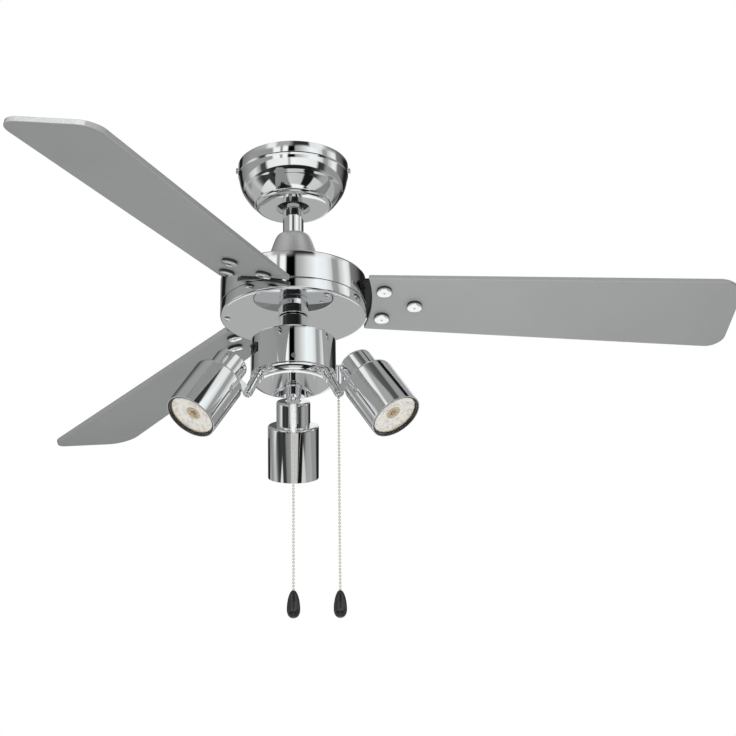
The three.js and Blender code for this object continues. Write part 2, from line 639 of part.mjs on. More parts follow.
function lightPlate() {
  const p = plate;
  const rimR = housing.r - p.rimIn;
  const spigotR = housing.r - housing.wall - GAP;
  const topZ = plateTopZ + p.lip + p.spigot;
  const inFloor = plateBottomZ + p.wall;
  const skin = revolve([
    [nozzle.stubR + GAP, plateBottomZ],
    ...bulge([p.r, plateBottomZ], [rimR, plateTopZ - 1], 1, 3),
    [rimR, plateTopZ], [spigotR, plateTopZ], [spigotR, topZ], [spigotR - p.wall, topZ],
    [spigotR - p.wall, plateTopZ - 1], [p.r - 1, inFloor], [nozzle.stubR + GAP, inFloor],
  ], FINE);
  const above = tube(2 * housing.r, spigotR, plateTopZ, topZ + 2 * knuckle.bossR, FINE);
  const inside = rodZ(spigotR - p.wall - 1, plateTopZ - 1.5, topZ + 2 * knuckle.bossR, FINE);
  const floorRoom = rodZ(p.r - 2, inFloor, plateTopZ, FINE);
  const bosses = [];
  const ways = [radialHole(housingScrew.shankR + GAP, 270, housingScrewZ)];
  for (const azimuth of spot.azimuths) {
    const f = armFrame(azimuth, new THREE.Group());
    f.updateMatrixWorld(true);
    const boss = inFrame(rodZ(knuckle.bossR, -1, collarStart - GAP), f);
    bosses.push(cut(boss, above, inside, floorRoom));
    ways.push(inFrame(rodZ(knuckle.stubR + GAP, -2 * knuckle.stubIn, 2 * knuckle.bossL), f));
  }
  return cut(join(skin, ...bosses), ...ways);
}

mesh('switch_neck', switchNeck(), chrome);
const nutTopZ = housingTopZ - housing.wall - GAP;
const nutWay = rodZ(shaft.r + GAP, housingTopZ, housingTopZ - 2 * nut.h, PLAIN);
mesh('shaft_nut', cut(rodZ(nut.r, nutTopZ - nut.h, nutTopZ, 6), nutWay), zinc);
mesh('switch_housing', switchHousing(), chrome);
mesh('housing_screw', frontScrew(), zinc);
mesh('light_plate', lightPlate(), chrome);

// ---------- switches, capacitor ----------
function reverseSwitch() {
  const r = reverse;
  const faceX = housing.r + GAP;
  const slotH = slider.h + slider.travel + 2 * GAP;
  const face = block(r.t, r.w, r.h, faceX + r.t / 2, 0, reverseZ);
  const body = block(r.bodyD + r.t, r.bodyW, r.bodyH, faceX + r.t / 2 - r.bodyD / 2, 0, reverseZ);
  const slot = block(2 * slider.root, slider.w + 2 * GAP, slotH, faceX + r.t, 0, reverseZ);
  return turned(cut(join(face, body), slot), r.azimuth);
}

function reverseSlider() {
  const r = reverse;
  const base = housing.r + 2 * GAP + r.t - slider.root;
  const top = housing.r + GAP + r.t + slider.out;
  const restZ = reverseZ + slider.travel / 2;
  return turned(block(top - base, slider.w, slider.h, (top + base) / 2, 0, restZ), r.azimuth);
}

const floorZ = plateBottomZ + plate.wall + GAP;
const stubSeat = 3;                                // how far each chain stub sits in its switch
const stubEnd = lightSwitchRho + lightSwitch.d / 2 - stubSeat;
mesh('reverse_switch', reverseSwitch(), black);
mesh('reverse_slider', reverseSlider(), black);
mesh('fan_switch', cut(rodZ(fanSwitch.r, floorZ, floorZ + fanSwitch.h, PLAIN),
  holeZ(nozzle.stubR + GAP, floorZ - 1, floorZ + stubSeat + GAP)), white);
mesh('light_switch', turned(cut(
  block(lightSwitch.d, lightSwitch.w, lightSwitch.h, lightSwitchRho, 0, elbowZ),
  holeZ(elbow.stubR + GAP, 0, 2 * stubSeat).rotateY(Math.PI / 2).translate(stubEnd - GAP, 0, elbowZ),
), elbow.azimuth), white);
mesh('capacitor', turned(block(
  capacitor.d, capacitor.w, capacitor.h, fanSwitch.r + 2 * GAP + capacitor.d / 2, 0, floorZ + capacitor.h / 2,
), capacitor.azimuth), black);

// ---------- pull chains ----------
const nozzleTopZ = plateBottomZ - GAP;
const fanMouthZ = nozzleTopZ - nozzle.flangeH - nozzle.h;

function chainNozzle() {
  const n = nozzle;
  return revolve([
    [n.bore, floorZ + stubSeat], [n.stubR, floorZ + stubSeat], [n.stubR, nozzleTopZ], [n.flangeR, nozzleTopZ],
    [n.flangeR, nozzleTopZ - n.flangeH], [n.r, nozzleTopZ - n.flangeH], [n.r, fanMouthZ + 2.5],
    [n.r + n.lip, fanMouthZ + 1], [n.r + n.lip - 0.6, fanMouthZ], [n.bore + 1, fanMouthZ],
    [n.bore, fanMouthZ + 2],
  ], PLAIN);
}

const elbowTopZ = elbowZ + elbow.roof;
const lightMouthZ = elbowTopZ - elbow.h;

function chainElbow() {
  const e = elbow;
  const drop = revolve([
    [0, elbowTopZ + 1.5], [e.r - 3, elbowTopZ + 1.2], [e.r, elbowTopZ - 2], [e.r, lightMouthZ + 2.5],
    [e.r + 1, lightMouthZ + 1], [e.r + 0.4, lightMouthZ], [0, lightMouthZ],
  ], PLAIN).translate(elbowRho, 0, 0);
  const stub = rodZ(e.stubR, 0, elbowRho - stubEnd).rotateY(Math.PI / 2).translate(stubEnd, 0, elbowZ);
  const way = holeZ(e.bore, lightMouthZ - PAST, elbowTopZ - stubSeat).translate(elbowRho, 0, 0);
  const collar = rodZ(e.stubR + e.collar, 0, e.collar).rotateY(Math.PI / 2)
    .translate(housing.r + GAP, 0, elbowZ);
  return turned(cut(join(drop, stub, collar), way), e.azimuth);
}

/** A hanging chain as a plain tube of eight sides through the given points. */
function chainTube(points) {
  const path = new THREE.CatmullRomCurve3(points);
  const section = new THREE.Shape();
  const corner = (i) => [chain.r * Math.cos((i * Math.PI) / 4), chain.r * Math.sin((i * Math.PI) / 4)];
  section.moveTo(...corner(0));
  for (let i = 1; i < 8; i++) section.lineTo(...corner(i));
  section.closePath();
  return new THREE.ExtrudeGeometry(section, { steps: chain.spans, extrudePath: path, bevelEnabled: false });
}

/** A chain's points, from its top straight down. */
function hangingPoints(x, y, topZ, bottomZ) {
  const step = (bottomZ - topZ) / chain.spans;
  return Array.from({ length: chain.spans + 1 }, (_, i) => new THREE.Vector3(x, y, topZ + step * i));
}

function chainSleeve() {
  const s = sleeve;
  const z = fanMouthZ - s.top;
  return revolve([
    [s.bore, z], [s.r - 0.8, z], [s.r, z - 1.5], [s.r, z - s.h], [s.r * 0.8, z - s.h - s.tail * 0.4],
    [s.bore + 0.5, z - s.h - s.tail], [s.bore, z - s.h - s.tail],
  ], SMALL);
}

/** A teardrop fob hanging from z. */
function teardrop(z) {
  const f = fob;
  const at = (u, v) => [f.r * u, z - f.h * v];
  const side = curve([f.neckR, z], at(0.75, 0.12), at(1, 0.45), at(1, 0.68), 4);
  const foot = curve(at(1, 0.68), at(1, 0.9), at(0.6, 1), at(0, 1), 3).slice(1);
  return revolve([[0, z], ...side, ...foot], SMALL);
}

const lightX = elbowRho * Math.cos(rad(elbow.azimuth));
const lightY = elbowRho * Math.sin(rad(elbow.azimuth));
mesh('fan_nozzle', chainNozzle(), chrome);
mesh('light_nozzle', chainElbow(), chrome);
const lightPoints = hangingPoints(lightX, lightY, lightMouthZ + lightChain.inside, lightChain.bottomZ);
mesh('fan_chain', chainTube(hangingPoints(0, 0, fanMouthZ + fanChain.inside, fanChain.bottomZ)), zinc);
mesh('fan_chain_sleeve', chainSleeve(), white);
mesh('fan_fob', teardrop(fanChain.bottomZ - GAP), black);
mesh('light_chain', chainTube(lightPoints), zinc);
mesh('light_fob', teardrop(lightChain.bottomZ - GAP).translate(lightX, lightY, 0), black);

// ---------- spotlights ----------
const pivotAt = armLength - arm.pivotIn;           // along the arm from its root

function spotArm() {
  const k = knuckle;
  const body = join(
    rodZ(arm.r, collarStart, armLength, PLAIN),
    rodZ(k.collarR, collarStart, collarStart + k.collarL, 6),
    rodZ(k.stubR, -k.stubIn, collarStart + 1, SMALL),
  );
  const fork = block(k.ear + 2 * GAP, 4 * arm.r, arm.fork, 0, 0, armLength + 1 - arm.fork / 2);
  const eye = rodZ(k.pinR + GAP, -2 * arm.r, 2 * arm.r).rotateY(Math.PI / 2).translate(0, 0, pivotAt);
  return cut(body, fork, eye);
}

/** The frame of a spot head: Z runs back along its axis from the front rim, X points at its arm. */
function spotFrame(degrees, parent = model) {
  const { out, up, at } = armLine(degrees);
  const dip = rad(spot.dip);
  const back = out.clone().multiplyScalar(-Math.cos(dip)).addScaledVector(up, Math.sin(dip));
  const toArm = out.clone().multiplyScalar(-Math.sin(dip)).addScaledVector(up, -Math.cos(dip));
  const side = new THREE.Vector3().crossVectors(back, toArm);
  return frameAt(at(housing.r + spot.out, plateTopZ - spot.down), toArm, side, back, parent);
}

/** The pivot of the knuckle in a spot's own frame: [towards the arm, back along the axis]. */
function pivotInSpot() {
  const f = spotFrame(0, new THREE.Group());
  f.updateMatrixWorld(true);
  const { root, along } = armLine(0);
  const p = f.worldToLocal(root.clone().addScaledVector(along, pivotAt));
  return [p.x, p.z];
}

function spotShell() {
  const s = spot;
  const end = s.frontL + s.rearL;
  const skin = revolve([
    [s.r, 0], ...quarter(s.r - s.edge, s.frontL - s.edge, s.edge, 0, 2), [s.rearR, s.frontL],
    ...quarter(s.rearR - s.edge, end - s.edge, s.edge, 0, 2), [s.cableR, end], [s.cableR, end - s.wall],
    [s.rearR - s.wall, end - s.wall - 1], [s.rearR - s.wall, s.frontL - s.wall],
    [s.r - s.wall, s.frontL - s.wall - 1], [s.r - s.wall, 0],
  ], MID);
  const [px, pz] = pivotInSpot();
  const k = knuckle;
  const inX = s.rearR - s.wall / 2;
  const eye = rodZ(k.earR, -k.ear / 2, k.ear / 2, PLAIN).rotateX(Math.PI / 2).translate(px, 0, pz);
  const web = block(px - inX, k.ear, 2 * k.earR, (px + inX) / 2, 0, pz);
  const hole = rodZ(k.pinR + GAP, -k.ear, k.ear).rotateX(Math.PI / 2).translate(px, 0, pz);
  return cut(join(skin, web, eye), hole);
}

function spotLamp() {
  const l = lamp;
  const back = l.recess + l.rimT;
  return revolve([
    [0, l.recess + 1.5], [l.r - 1, l.recess], [l.rimR, l.recess], [l.rimR, back], [l.r, back],
    ...curve([l.r, back + 1], [l.r - 1, back + 12], [l.neckR + 4, l.bodyL - 6], [l.neckR, l.bodyL], 3),
    [l.neckR, l.bodyL + l.baseL], [0, l.bodyL + l.baseL],
  ], MID);
}

function lampHolder() {
  const end = spot.frontL + spot.rearL - spot.wall - GAP;
  const front = lamp.bodyL + lamp.baseL + GAP;
  return revolve([
    [0, front], [lamp.neckR, front], [holder.r, front + holder.flare],
    [holder.r, end - holder.end], [0, end - holder.end],
  ], PLAIN);
}

const armGeometry = spotArm();
const shellGeometry = spotShell();
const lampGeometry = spotLamp();
const holderGeometry = lampHolder();
const pinGeometry = rodZ(knuckle.pinR, -arm.r, arm.r).rotateY(Math.PI / 2).translate(0, 0, pivotAt);
spot.azimuths.forEach((degrees, i) => {
  const armGroup = armFrame(degrees);
  mesh(`spot_arm_${i + 1}`, armGeometry, chrome, armGroup);
  mesh(`knuckle_pin_${i + 1}`, pinGeometry, zinc, armGroup);
  const head = spotFrame(degrees);
  mesh(`spot_shell_${i + 1}`, shellGeometry, chrome, head);
  mesh(`spot_lamp_${i + 1}`, lampGeometry, glass, head);
  mesh(`lamp_holder_${i + 1}`, holderGeometry, white, head);
});

export default model;
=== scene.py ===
"""Ceiling fan with three blades and three spotlights: the dressed model on the CAD frame.

Pieces are in mm until to_mesh scales them; the camera's distance, the floor and the lights are in
metres. Angles are in degrees. A lathe outline is a closed list of (r, z, fillet), with the fillet
left out where the corner is sharp.
"""
import math

import bpy
import bmesh
from mathutils import Matrix, Vector


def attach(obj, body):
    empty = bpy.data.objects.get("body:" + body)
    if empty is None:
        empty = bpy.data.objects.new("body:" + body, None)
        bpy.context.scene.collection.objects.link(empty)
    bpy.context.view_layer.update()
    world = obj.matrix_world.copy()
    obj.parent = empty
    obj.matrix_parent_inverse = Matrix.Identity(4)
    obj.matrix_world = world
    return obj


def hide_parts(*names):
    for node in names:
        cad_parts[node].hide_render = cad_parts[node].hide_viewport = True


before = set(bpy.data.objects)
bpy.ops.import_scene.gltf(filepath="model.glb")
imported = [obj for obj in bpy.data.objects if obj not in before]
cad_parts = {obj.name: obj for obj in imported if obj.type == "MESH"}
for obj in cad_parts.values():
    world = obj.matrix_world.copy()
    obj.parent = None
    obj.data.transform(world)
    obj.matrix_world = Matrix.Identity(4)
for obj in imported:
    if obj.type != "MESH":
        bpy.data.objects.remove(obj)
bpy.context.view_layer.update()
MM = 0.001
scene = bpy.context.scene

# ---------------------------------------------------------------- camera
HUB = Vector((0, 0, -205))  # middle of the drum's underside
RAISE, PAN, TILT = math.radians(23.79), math.radians(1.808), math.radians(1.206)
DISTANCE = 2.8348           # from the camera to the hub
FOCAL_PX, FRAME_PX, SENSOR = 2366.0, 736, 36.0


def add_camera():
    """Looks up at the hub, then panned and tilted to set the fan in the frame."""
    right = Vector((1, 0, 0))
    look = Vector((0, math.cos(RAISE), math.sin(RAISE)))
    up = right.cross(look)
    pan = Matrix.Rotation(-PAN, 3, up)
    right_panned = pan @ right
    tilt = Matrix.Rotation(-TILT, 3, right_panned)
    data = bpy.data.cameras.new("camera")
    data.sensor_width = SENSOR
    data.lens = SENSOR * FOCAL_PX / FRAME_PX
    cam = bpy.data.objects.new("camera", data)
    scene.collection.objects.link(cam)
    basis = Matrix((right_panned, tilt @ up, -(tilt @ (pan @ look)))).transposed().to_4x4()
    basis.translation = HUB * MM - look * DISTANCE
    cam.matrix_world = basis
    scene.camera = cam


add_camera()
scene.view_settings.view_transform = "Standard"

# ---------------------------------------------------------------- mesh tools
SHARP = 32  # edges that turn by more than this stay sharp


def to_mesh(name, verts, faces, place=None):
    me = bpy.data.meshes.new(name)
    pts = [Vector(v) for v in verts]
    if place is not None:
        pts = [place @ p for p in pts]
    me.from_pydata([p * MM for p in pts], [], faces)
    bm = bmesh.new()
    bm.from_mesh(me)
    bmesh.ops.remove_doubles(bm, verts=bm.verts, dist=1e-7)
    bmesh.ops.recalc_face_normals(bm, faces=bm.faces)
    bm.to_mesh(me)
    bm.free()
    return me


def build(name, verts, faces, material, body, node=None, place=None, smooth=True, sharp=SHARP):
    """A mesh piece; place moves its points from the piece's own frame to the row's."""
    me = to_mesh(name, verts, faces, place)
    if smooth:
        me.shade_smooth()
        me.set_sharp_from_angle(angle=math.radians(sharp))
    me.materials.append(material)
    ob = bpy.data.objects.new(name, me)
    scene.collection.objects.link(ob)
    if node is not None:
        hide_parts(node)
    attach(ob, body)
    return ob


def soften(outline, steps):
    """Rounds the corners of a closed outline; each corner gets steps + 1 points."""
    out = []
    n = len(outline)
    for i, p in enumerate(outline):
        f = p[2] if len(p) > 2 else 0
        a = Vector(outline[i - 1][:2])
        b = Vector(p[:2])
        c = Vector(outline[(i + 1) % n][:2])
        if f <= 0 or (a - b).length < 1e-6 or (c - b).length < 1e-6:
            out.append((b.x, b.y))
            continue
        u, v = (a - b).normalized(), (c - b).normalized()
        half = math.acos(max(-1, min(1, u.dot(v)))) / 2
        reach = min(f / math.tan(half), 0.49 * (a - b).length, 0.49 * (c - b).length)
        s, e = b + u * reach, b + v * reach
        for k in range(steps + 1):
            t = k / steps
            q = s * (1 - t) ** 2 + b * 2 * t * (1 - t) + e * t ** 2
            out.append((q.x, q.y))
    return out


def lathe_mesh(outline, n=128, steps=5):
    """Points and faces of a closed outline turned about Z."""
    verts, rings = [], []
    for r, z in soften(outline, steps):
        if abs(r) < 1e-6:
            rings.append([len(verts)] * n)
            verts.append((0, 0, z))
        else:
            rings.append(list(range(len(verts), len(verts) + n)))
            verts += [(r * math.cos(a), r * math.sin(a), z)
                      for a in (2 * math.pi * k / n for k in range(n))]
    faces = []
    for i, a in enumerate(rings):
        b = rings[(i + 1) % len(rings)]
        if a[0] == a[1] and b[0] == b[1]:
            continue
        for k in range(n):
            m = (k + 1) % n
            face = list(dict.fromkeys([a[k], a[m], b[m], b[k]]))
            if len(face) > 2:
                faces.append(face)
    return verts, faces


def lathe(name, outline, material, body, node=None, place=None, n=128, sharp=SHARP):
    return build(name, *lathe_mesh(outline, n), material, body, node, place, sharp=sharp)


def curve(a, b, c, d, steps):
    """Points on a cubic curve through four (r, z) handles."""
    out = []
    for i in range(steps + 1):
        t = i / steps
        w = ((1 - t) ** 3, 3 * t * (1 - t) ** 2, 3 * t * t * (1 - t), t ** 3)
        out.append(tuple(w[0] * a[k] + w[1] * b[k] + w[2] * c[k] + w[3] * d[k] for k in (0, 1)))
    return out


def bulge(a, b, swell, steps):
    """A wall between two (r, z) points: straight at swell 0, well rounded outwards at swell 1."""
    def at(u, v):
        return a[0] + u * (b[0] - a[0]), a[1] + v * (b[1] - a[1])
    low = at((1 + swell / 2) / 3, (1 - 3 * swell / 4) / 3)
    high = at((2 + 3 * swell / 4) / 3, (2 - swell / 2) / 3)
    return curve(a, low, high, b, steps)


def ball_side(r, z, angles):
    """Points on a ball about height z; the angles count from its bottom."""
    return [(r * math.sin(math.radians(a)), z - r * math.cos(math.radians(a))) for a in angles]


def polar(r, degrees):
    a = math.radians(degrees)
    return r * math.cos(a), r * math.sin(a)


def cylinder_mesh(r, z0, z1, n=48, chamfer=0.0):
    return lathe_mesh([(0, z0), (r, z0, chamfer), (r, z1, chamfer), (0, z1)], n, 4)


def slab(points, z0, z1):
    """A flat plate of the (x, y) outline between two heights."""
    n = len(points)
    verts = [(x, y, z0) for x, y in points] + [(x, y, z1) for x, y in points]
    faces = [list(range(n))[::-1], list(range(n, 2 * n))]
    faces += [[i, (i + 1) % n, (i + 1) % n + n, i + n] for i in range(n)]
    return verts, faces


def box_mesh(w, d, h, x=0, y=0, z=0, r=0.0, steps=4):
    """A block about (x, y, z) whose upright edges are rounded by r."""
    corners = [(w / 2, d / 2), (-w / 2, d / 2), (-w / 2, -d / 2), (w / 2, -d / 2)]
    pts = soften([(a, b, r) for a, b in corners], steps)
    return slab([(px + x, py + y) for px, py in pts], z - h / 2, z + h / 2)


def strip(path, t, half_width, radius, steps=5):
    """Sheet metal of thickness t bent along an (x, z) path."""
    bends = soften([(x, z, radius) for x, z in path], steps)[steps + 1:-(steps + 1)]
    mid = [path[0], *bends, path[-1]]
    left, right = [], []
    for i, p in enumerate(mid):
        a = Vector(mid[max(i - 1, 0)])
        b = Vector(mid[min(i + 1, len(mid) - 1)])
        d = (b - a).normalized()
        left.append((p[0] - d.y * t / 2, p[1] + d.x * t / 2))
        right.append((p[0] + d.y * t / 2, p[1] - d.x * t / 2))
    verts, faces = slab(left + right[::-1], -half_width, half_width)
    return [(x, z, y) for x, y, z in verts], faces


def merge(*parts):
    verts, faces = [], []
    for v, f in parts:
        base = len(verts)
        verts += [tuple(p) for p in v]
        faces += [[i + base for i in face] for face in f]
    return verts, faces


def moved(part, matrix):
    verts, faces = part
    return [tuple(matrix @ Vector(p)) for p in verts], faces


def bevel(ob, width, segments, angle):
    m = ob.modifiers.new("bevel", "BEVEL")
    m.width = width * MM
    m.segments = segments
    m.limit_method = "ANGLE"
    m.angle_limit = math.radians(angle)
    m.harden_normals = True


def carve(ob, other, operation="DIFFERENCE"):
    """Takes the closed mesh other out of ob, or joins it on."""
    tool = bpy.data.objects.new("tool", to_mesh("tool", *other))
    scene.collection.objects.link(tool)
    m = ob.modifiers.new("cut", "BOOLEAN")
    m.operation = operation
    m.solver = "EXACT"
    m.object = tool
    deps = bpy.context.evaluated_depsgraph_get()
    new = bpy.data.meshes.new_from_object(ob.evaluated_get(deps))
    ob.modifiers.remove(m)
    ob.data = new
    ob.data.set_sharp_from_angle(angle=math.radians(SHARP))
    bpy.data.objects.remove(tool)


def turn_z(degrees):
    return Matrix.Rotation(math.radians(degrees), 4, "Z")


def turn_y(degrees):
    return Matrix.Rotation(math.radians(degrees), 4, "Y")


def turn_x(degrees):
    return Matrix.Rotation(math.radians(degrees), 4, "X")


def shift(x, y, z):
    return Matrix.Translation((x, y, z))


# ---------------------------------------------------------------- materials
class Nodes:
    """Short hand for a material's node tree."""

    def __init__(self, name, **sockets):
        self.mat = bpy.data.materials.new(name)
        self.mat.use_nodes = True
        self.tree = self.mat.node_tree
        self.bsdf = self.tree.nodes["Principled BSDF"]
        for key, value in sockets.items():
            value = (*value, 1) if isinstance(value, tuple) else value
            self.bsdf.inputs[key.replace("_", " ")].default_value = value

    def add(self, kind, **props):
        n = self.tree.nodes.new(kind)
        for k, v in props.items():
            setattr(n, k, v)
        return n

    def link(self, a, b):
        self.tree.links.new(a, b)

    def coords(self):
        return self.add("ShaderNodeTexCoord").outputs["Object"]

    def noise(self, scale, detail, rough=0.5):
        n = self.add("ShaderNodeTexNoise")
        n.inputs["Scale"].default_value = scale
        n.inputs["Detail"].default_value = detail
        n.inputs["Roughness"].default_value = rough
        self.link(self.coords(), n.inputs["Vector"])
        return n.outputs["Fac"]

    def ramp(self, value, lo, hi, at=(0.3, 0.7)):
        r = self.add("ShaderNodeMapRange")
        r.inputs["From Min"].default_value = at[0]
        r.inputs["From Max"].default_value = at[1]
        r.inputs["To Min"].default_value = lo
        r.inputs["To Max"].default_value = hi
        self.link(value, r.inputs["Value"])
        return r.outputs["Result"]

    def colour(self, value, *stops):
        """A ramp through two colours, or through (place, colour) stops."""
        if len(stops[0]) == 3:
            stops = tuple(zip((0.3, 0.7), stops))
        r = self.add("ShaderNodeValToRGB")
        e = r.color_ramp.elements
        while len(e) < len(stops):
            e.new(0.5)
        for el, (place, level) in zip(e, stops):
            el.position, el.color = place, (*level, 1)
        self.link(value, r.inputs["Fac"])
        return r.outputs["Color"]

    def times(self, a, b):
        """Two colours multiplied."""
        m = self.add("ShaderNodeMix", data_type="RGBA", blend_type="MULTIPLY")
        m.inputs[0].default_value = 1.0
        self.link(a, m.inputs[6])
        self.link(b, m.inputs[7])
        return m.outputs[2]

    def bump(self, value, strength, distance):
        b = self.add("ShaderNodeBump")
        b.inputs["Strength"].default_value = strength
        b.inputs["Distance"].default_value = distance
        self.link(value, b.inputs["Height"])
        self.link(b.outputs["Normal"], self.bsdf.inputs["Normal"])

    def grained(self, grain, c0, c1, rough, bump, distance):
        """Colour, roughness and bump from one noise."""
        self.link(self.colour(grain, c0, c1), self.bsdf.inputs["Base Color"])
        self.link(self.ramp(grain, *rough), self.bsdf.inputs["Roughness"])
        self.bump(grain, bump, distance)
        return self.mat


def chrome_material(name, wave_scale, wave):
    """Polished plate with a faint haze and the waviness of a pressed shell."""
    m = Nodes(name, Base_Color=(0.93, 0.94, 0.945), Metallic=1.0)
    m.link(m.ramp(m.noise(28, 4), 0.015, 0.045), m.bsdf.inputs["Roughness"])
    m.bump(m.noise(wave_scale, 1), wave, 0.001)
    return m.mat


def metal_material(name, c0, c1, rough, scale, bump, metallic=1.0):
    m = Nodes(name, Metallic=metallic)
    return m.grained(m.noise(scale, 5, 0.6), c0, c1, rough, bump, 0.0001)


def plastic_material(name, c0, c1, rough, bump, coat=0.0):
    m = Nodes(name, Coat_Weight=coat)
    return m.grained(m.noise(300, 4, 0.6), c0, c1, rough, bump, 0.00005)


def board_material():
    """Matt silver-grey foil: a very fine grain, a slow cloud, and painted shade that darkens it
    towards the tips.
    """
    m = Nodes("silver_board", Metallic=0.2, Specular_IOR_Level=0.5)
    fine = m.noise(2600, 2)
    cloud = m.noise(14, 3)
    grain = m.colour(fine, (0.308, 0.318, 0.316), (0.352, 0.362, 0.359))
    mixed = m.times(grain, m.colour(cloud, (0.96, 0.96, 0.96), (1.0, 1.0, 1.0)))
    # painted shade: the colour darkens with distance from the axis, standing in for light that
    # falls off towards the tips
    reach = m.add("ShaderNodeVectorMath", operation="LENGTH")
    m.link(m.coords(), reach.inputs[0])
    painted_tip_shade = m.ramp(reach.outputs["Value"], 0.98, 0.82, at=(0.23, 0.57))
    m.link(m.times(mixed, painted_tip_shade), m.bsdf.inputs["Base Color"])
    m.link(m.ramp(fine, 0.5, 0.58), m.bsdf.inputs["Roughness"])
    m.bump(fine, 0.05, 0.00003)
    return m.mat


def clear_material():
    """Hazy clear plastic."""
    m = Nodes("clear_sleeve", Base_Color=(0.86, 0.88, 0.88), IOR=1.46, Transmission_Weight=0.4)
    haze = m.noise(220, 3)
    m.link(m.ramp(haze, 0.28, 0.4), m.bsdf.inputs["Roughness"])
    m.bump(haze, 0.05, 0.0001)
    return m.mat


def lens_material():
    m = Nodes("lamp_lens", Base_Color=(1, 1, 1), IOR=1.3, Transmission_Weight=1.0)
    m.link(m.ramp(m.noise(60, 2), 0.0, 0.03), m.bsdf.inputs["Roughness"])
    return m.mat


def reflector_material():
    """Bright dichroic coating: cells of grey, faint lilac, straw and white, with a faint painted
    glow that brightens the unlit reflector.
    """
    m = Nodes("dichroic_mirror", Metallic=0.55)
    cells = m.add("ShaderNodeTexVoronoi")
    cells.inputs["Scale"].default_value = 260
    m.link(m.coords(), cells.inputs["Vector"])
    one = m.add("ShaderNodeSeparateColor")
    m.link(cells.outputs["Color"], one.inputs["Color"])
    tints = m.colour(one.outputs["Red"], (0.1, (0.68, 0.68, 0.6)), (0.35, (0.89, 0.86, 0.92)),
                     (0.65, (1.0, 0.93, 0.75)), (0.95, (0.99, 0.99, 0.98)))
    m.link(tints, m.bsdf.inputs["Base Color"])
    m.link(m.ramp(m.noise(90, 2), 0.12, 0.28), m.bsdf.inputs["Roughness"])
    # painted light: this warm emission lights up the bowl of a lamp that is switched off
    m.bsdf.inputs["Emission Color"].default_value = (1.0, 0.95, 0.84, 1)
    m.bsdf.inputs["Emission Strength"].default_value = 0.17
    return m.mat


CHROME = chrome_material("chrome", 16, 0.035)
PRESSED = chrome_material("pressed_chrome", 34, 0.3)
SATIN = metal_material("satin_cover", (0.56, 0.565, 0.56), (0.64, 0.645, 0.64), (0.3, 0.38),
                       900, 0.04, 0.75)
ZINC = metal_material("zinc_plate", (0.5, 0.5, 0.49), (0.66, 0.66, 0.65), (0.28, 0.42), 160, 0.12)
DARK = metal_material("dark_casting", (0.03, 0.03, 0.03), (0.06, 0.06, 0.06), (0.35, 0.5),
                      220, 0.2)
STEEL = metal_material("mill_steel", (0.3, 0.3, 0.31), (0.42, 0.42, 0.43), (0.35, 0.5), 90, 0.15)
COPPER = metal_material("copper_wire", (0.55, 0.24, 0.1), (0.75, 0.38, 0.2), (0.3, 0.4), 700, 0.3)
NICKEL = metal_material("nickel_beads", (0.64, 0.64, 0.56), (0.78, 0.78, 0.69), (0.2, 0.32),
                        400, 0.03, 0.6)
BLACK = plastic_material("black_plastic", (0.006, 0.006, 0.006), (0.014, 0.014, 0.014),
                         (0.18, 0.3), 0.03, 0.4)
WHITE = plastic_material("white_plastic", (0.78, 0.77, 0.74), (0.86, 0.85, 0.82), (0.35, 0.5),
                         0.05)
CERAMIC = plastic_material("ceramic", (0.8, 0.79, 0.75), (0.88, 0.87, 0.84), (0.4, 0.55), 0.1)
BOARD = board_material()
# painted shade and painted highlight: a darker and a lighter copy of the board grey, for the
# board's sides and for its outer end
PAINTED_SHADE_SIDE = metal_material("blade_edge", (0.22, 0.225, 0.22), (0.27, 0.275, 0.27), (0.4, 0.5),
                      500, 0.05, 0.2)
PAINTED_HIGHLIGHT_TIP = metal_material("blade_tip", (0.5, 0.51, 0.5), (0.62, 0.63, 0.62), (0.3, 0.45),
                     500, 0.05, 0.5)
CLEAR = clear_material()
LENS = lens_material()
MIRROR = reflector_material()
AMBER = metal_material("lamp_heart", (0.6, 0.36, 0.14), (0.9, 0.66, 0.36), (0.2, 0.35),
                       300, 0.05, 0.6)
STRAW = metal_material("lamp_rim", (0.62, 0.5, 0.3), (0.82, 0.74, 0.54), (0.2, 0.35),
                       200, 0.05, 0.6)

# ---------------------------------------------------------------- levels and places
GAP = 0.3                                            # between pieces that don't touch
RIM_R, RIM_Z, BAND_Z, FOOT_Z = 67.4, -1.0, -15.0, -59.0          # canopy
HOLE_R, FOOT_R, DISH_R, DISH_H, DOME_R, DOME_H = 20.5, 40.5, 46.4, 5.0, 60.0, 21.5
CANOPY_T, STEP = 1.2, 0.8
BALL_Z, SEAT_Z = -36.0, -45.5                        # hanger ball, bracket's seat
DRUM_R, DRUM_TOP, DRUM_BOT, JOINT = 87.5, -155.0, -205.0, -190.5
NECK_TOP = DRUM_BOT - 1.0
HOUSING_R = 50.6
HOUSING_TOP = NECK_TOP - 28
HOUSING_BOT = HOUSING_TOP - 47.4
PLATE_TOP = HOUSING_BOT - 0.8
PLATE_BOT = PLATE_TOP - 9.8
NOZZLE_TOP = PLATE_BOT - GAP
NOZZLE_MOUTH = NOZZLE_TOP - 2.7 - 18.5
LIGHT_AZ, LIGHT_RHO = 25.0, HOUSING_R + 8.9          # the light chain's outlet
LIGHT_X, LIGHT_Y = polar(LIGHT_RHO, LIGHT_AZ)
STUB_Z = HOUSING_TOP - 28
ELBOW_TOP = STUB_Z + 5
LIGHT_MOUTH = ELBOW_TOP - 28
FAN_TOP, FAN_BOTTOM = NOZZLE_MOUTH + 15, -545.3      # the two chains
LIGHT_TOP, LIGHT_BOTTOM = LIGHT_MOUTH + 17, -537.5
BEAD_D, BEAD_PITCH, LINK_R = 3.2, 4.0, 0.42


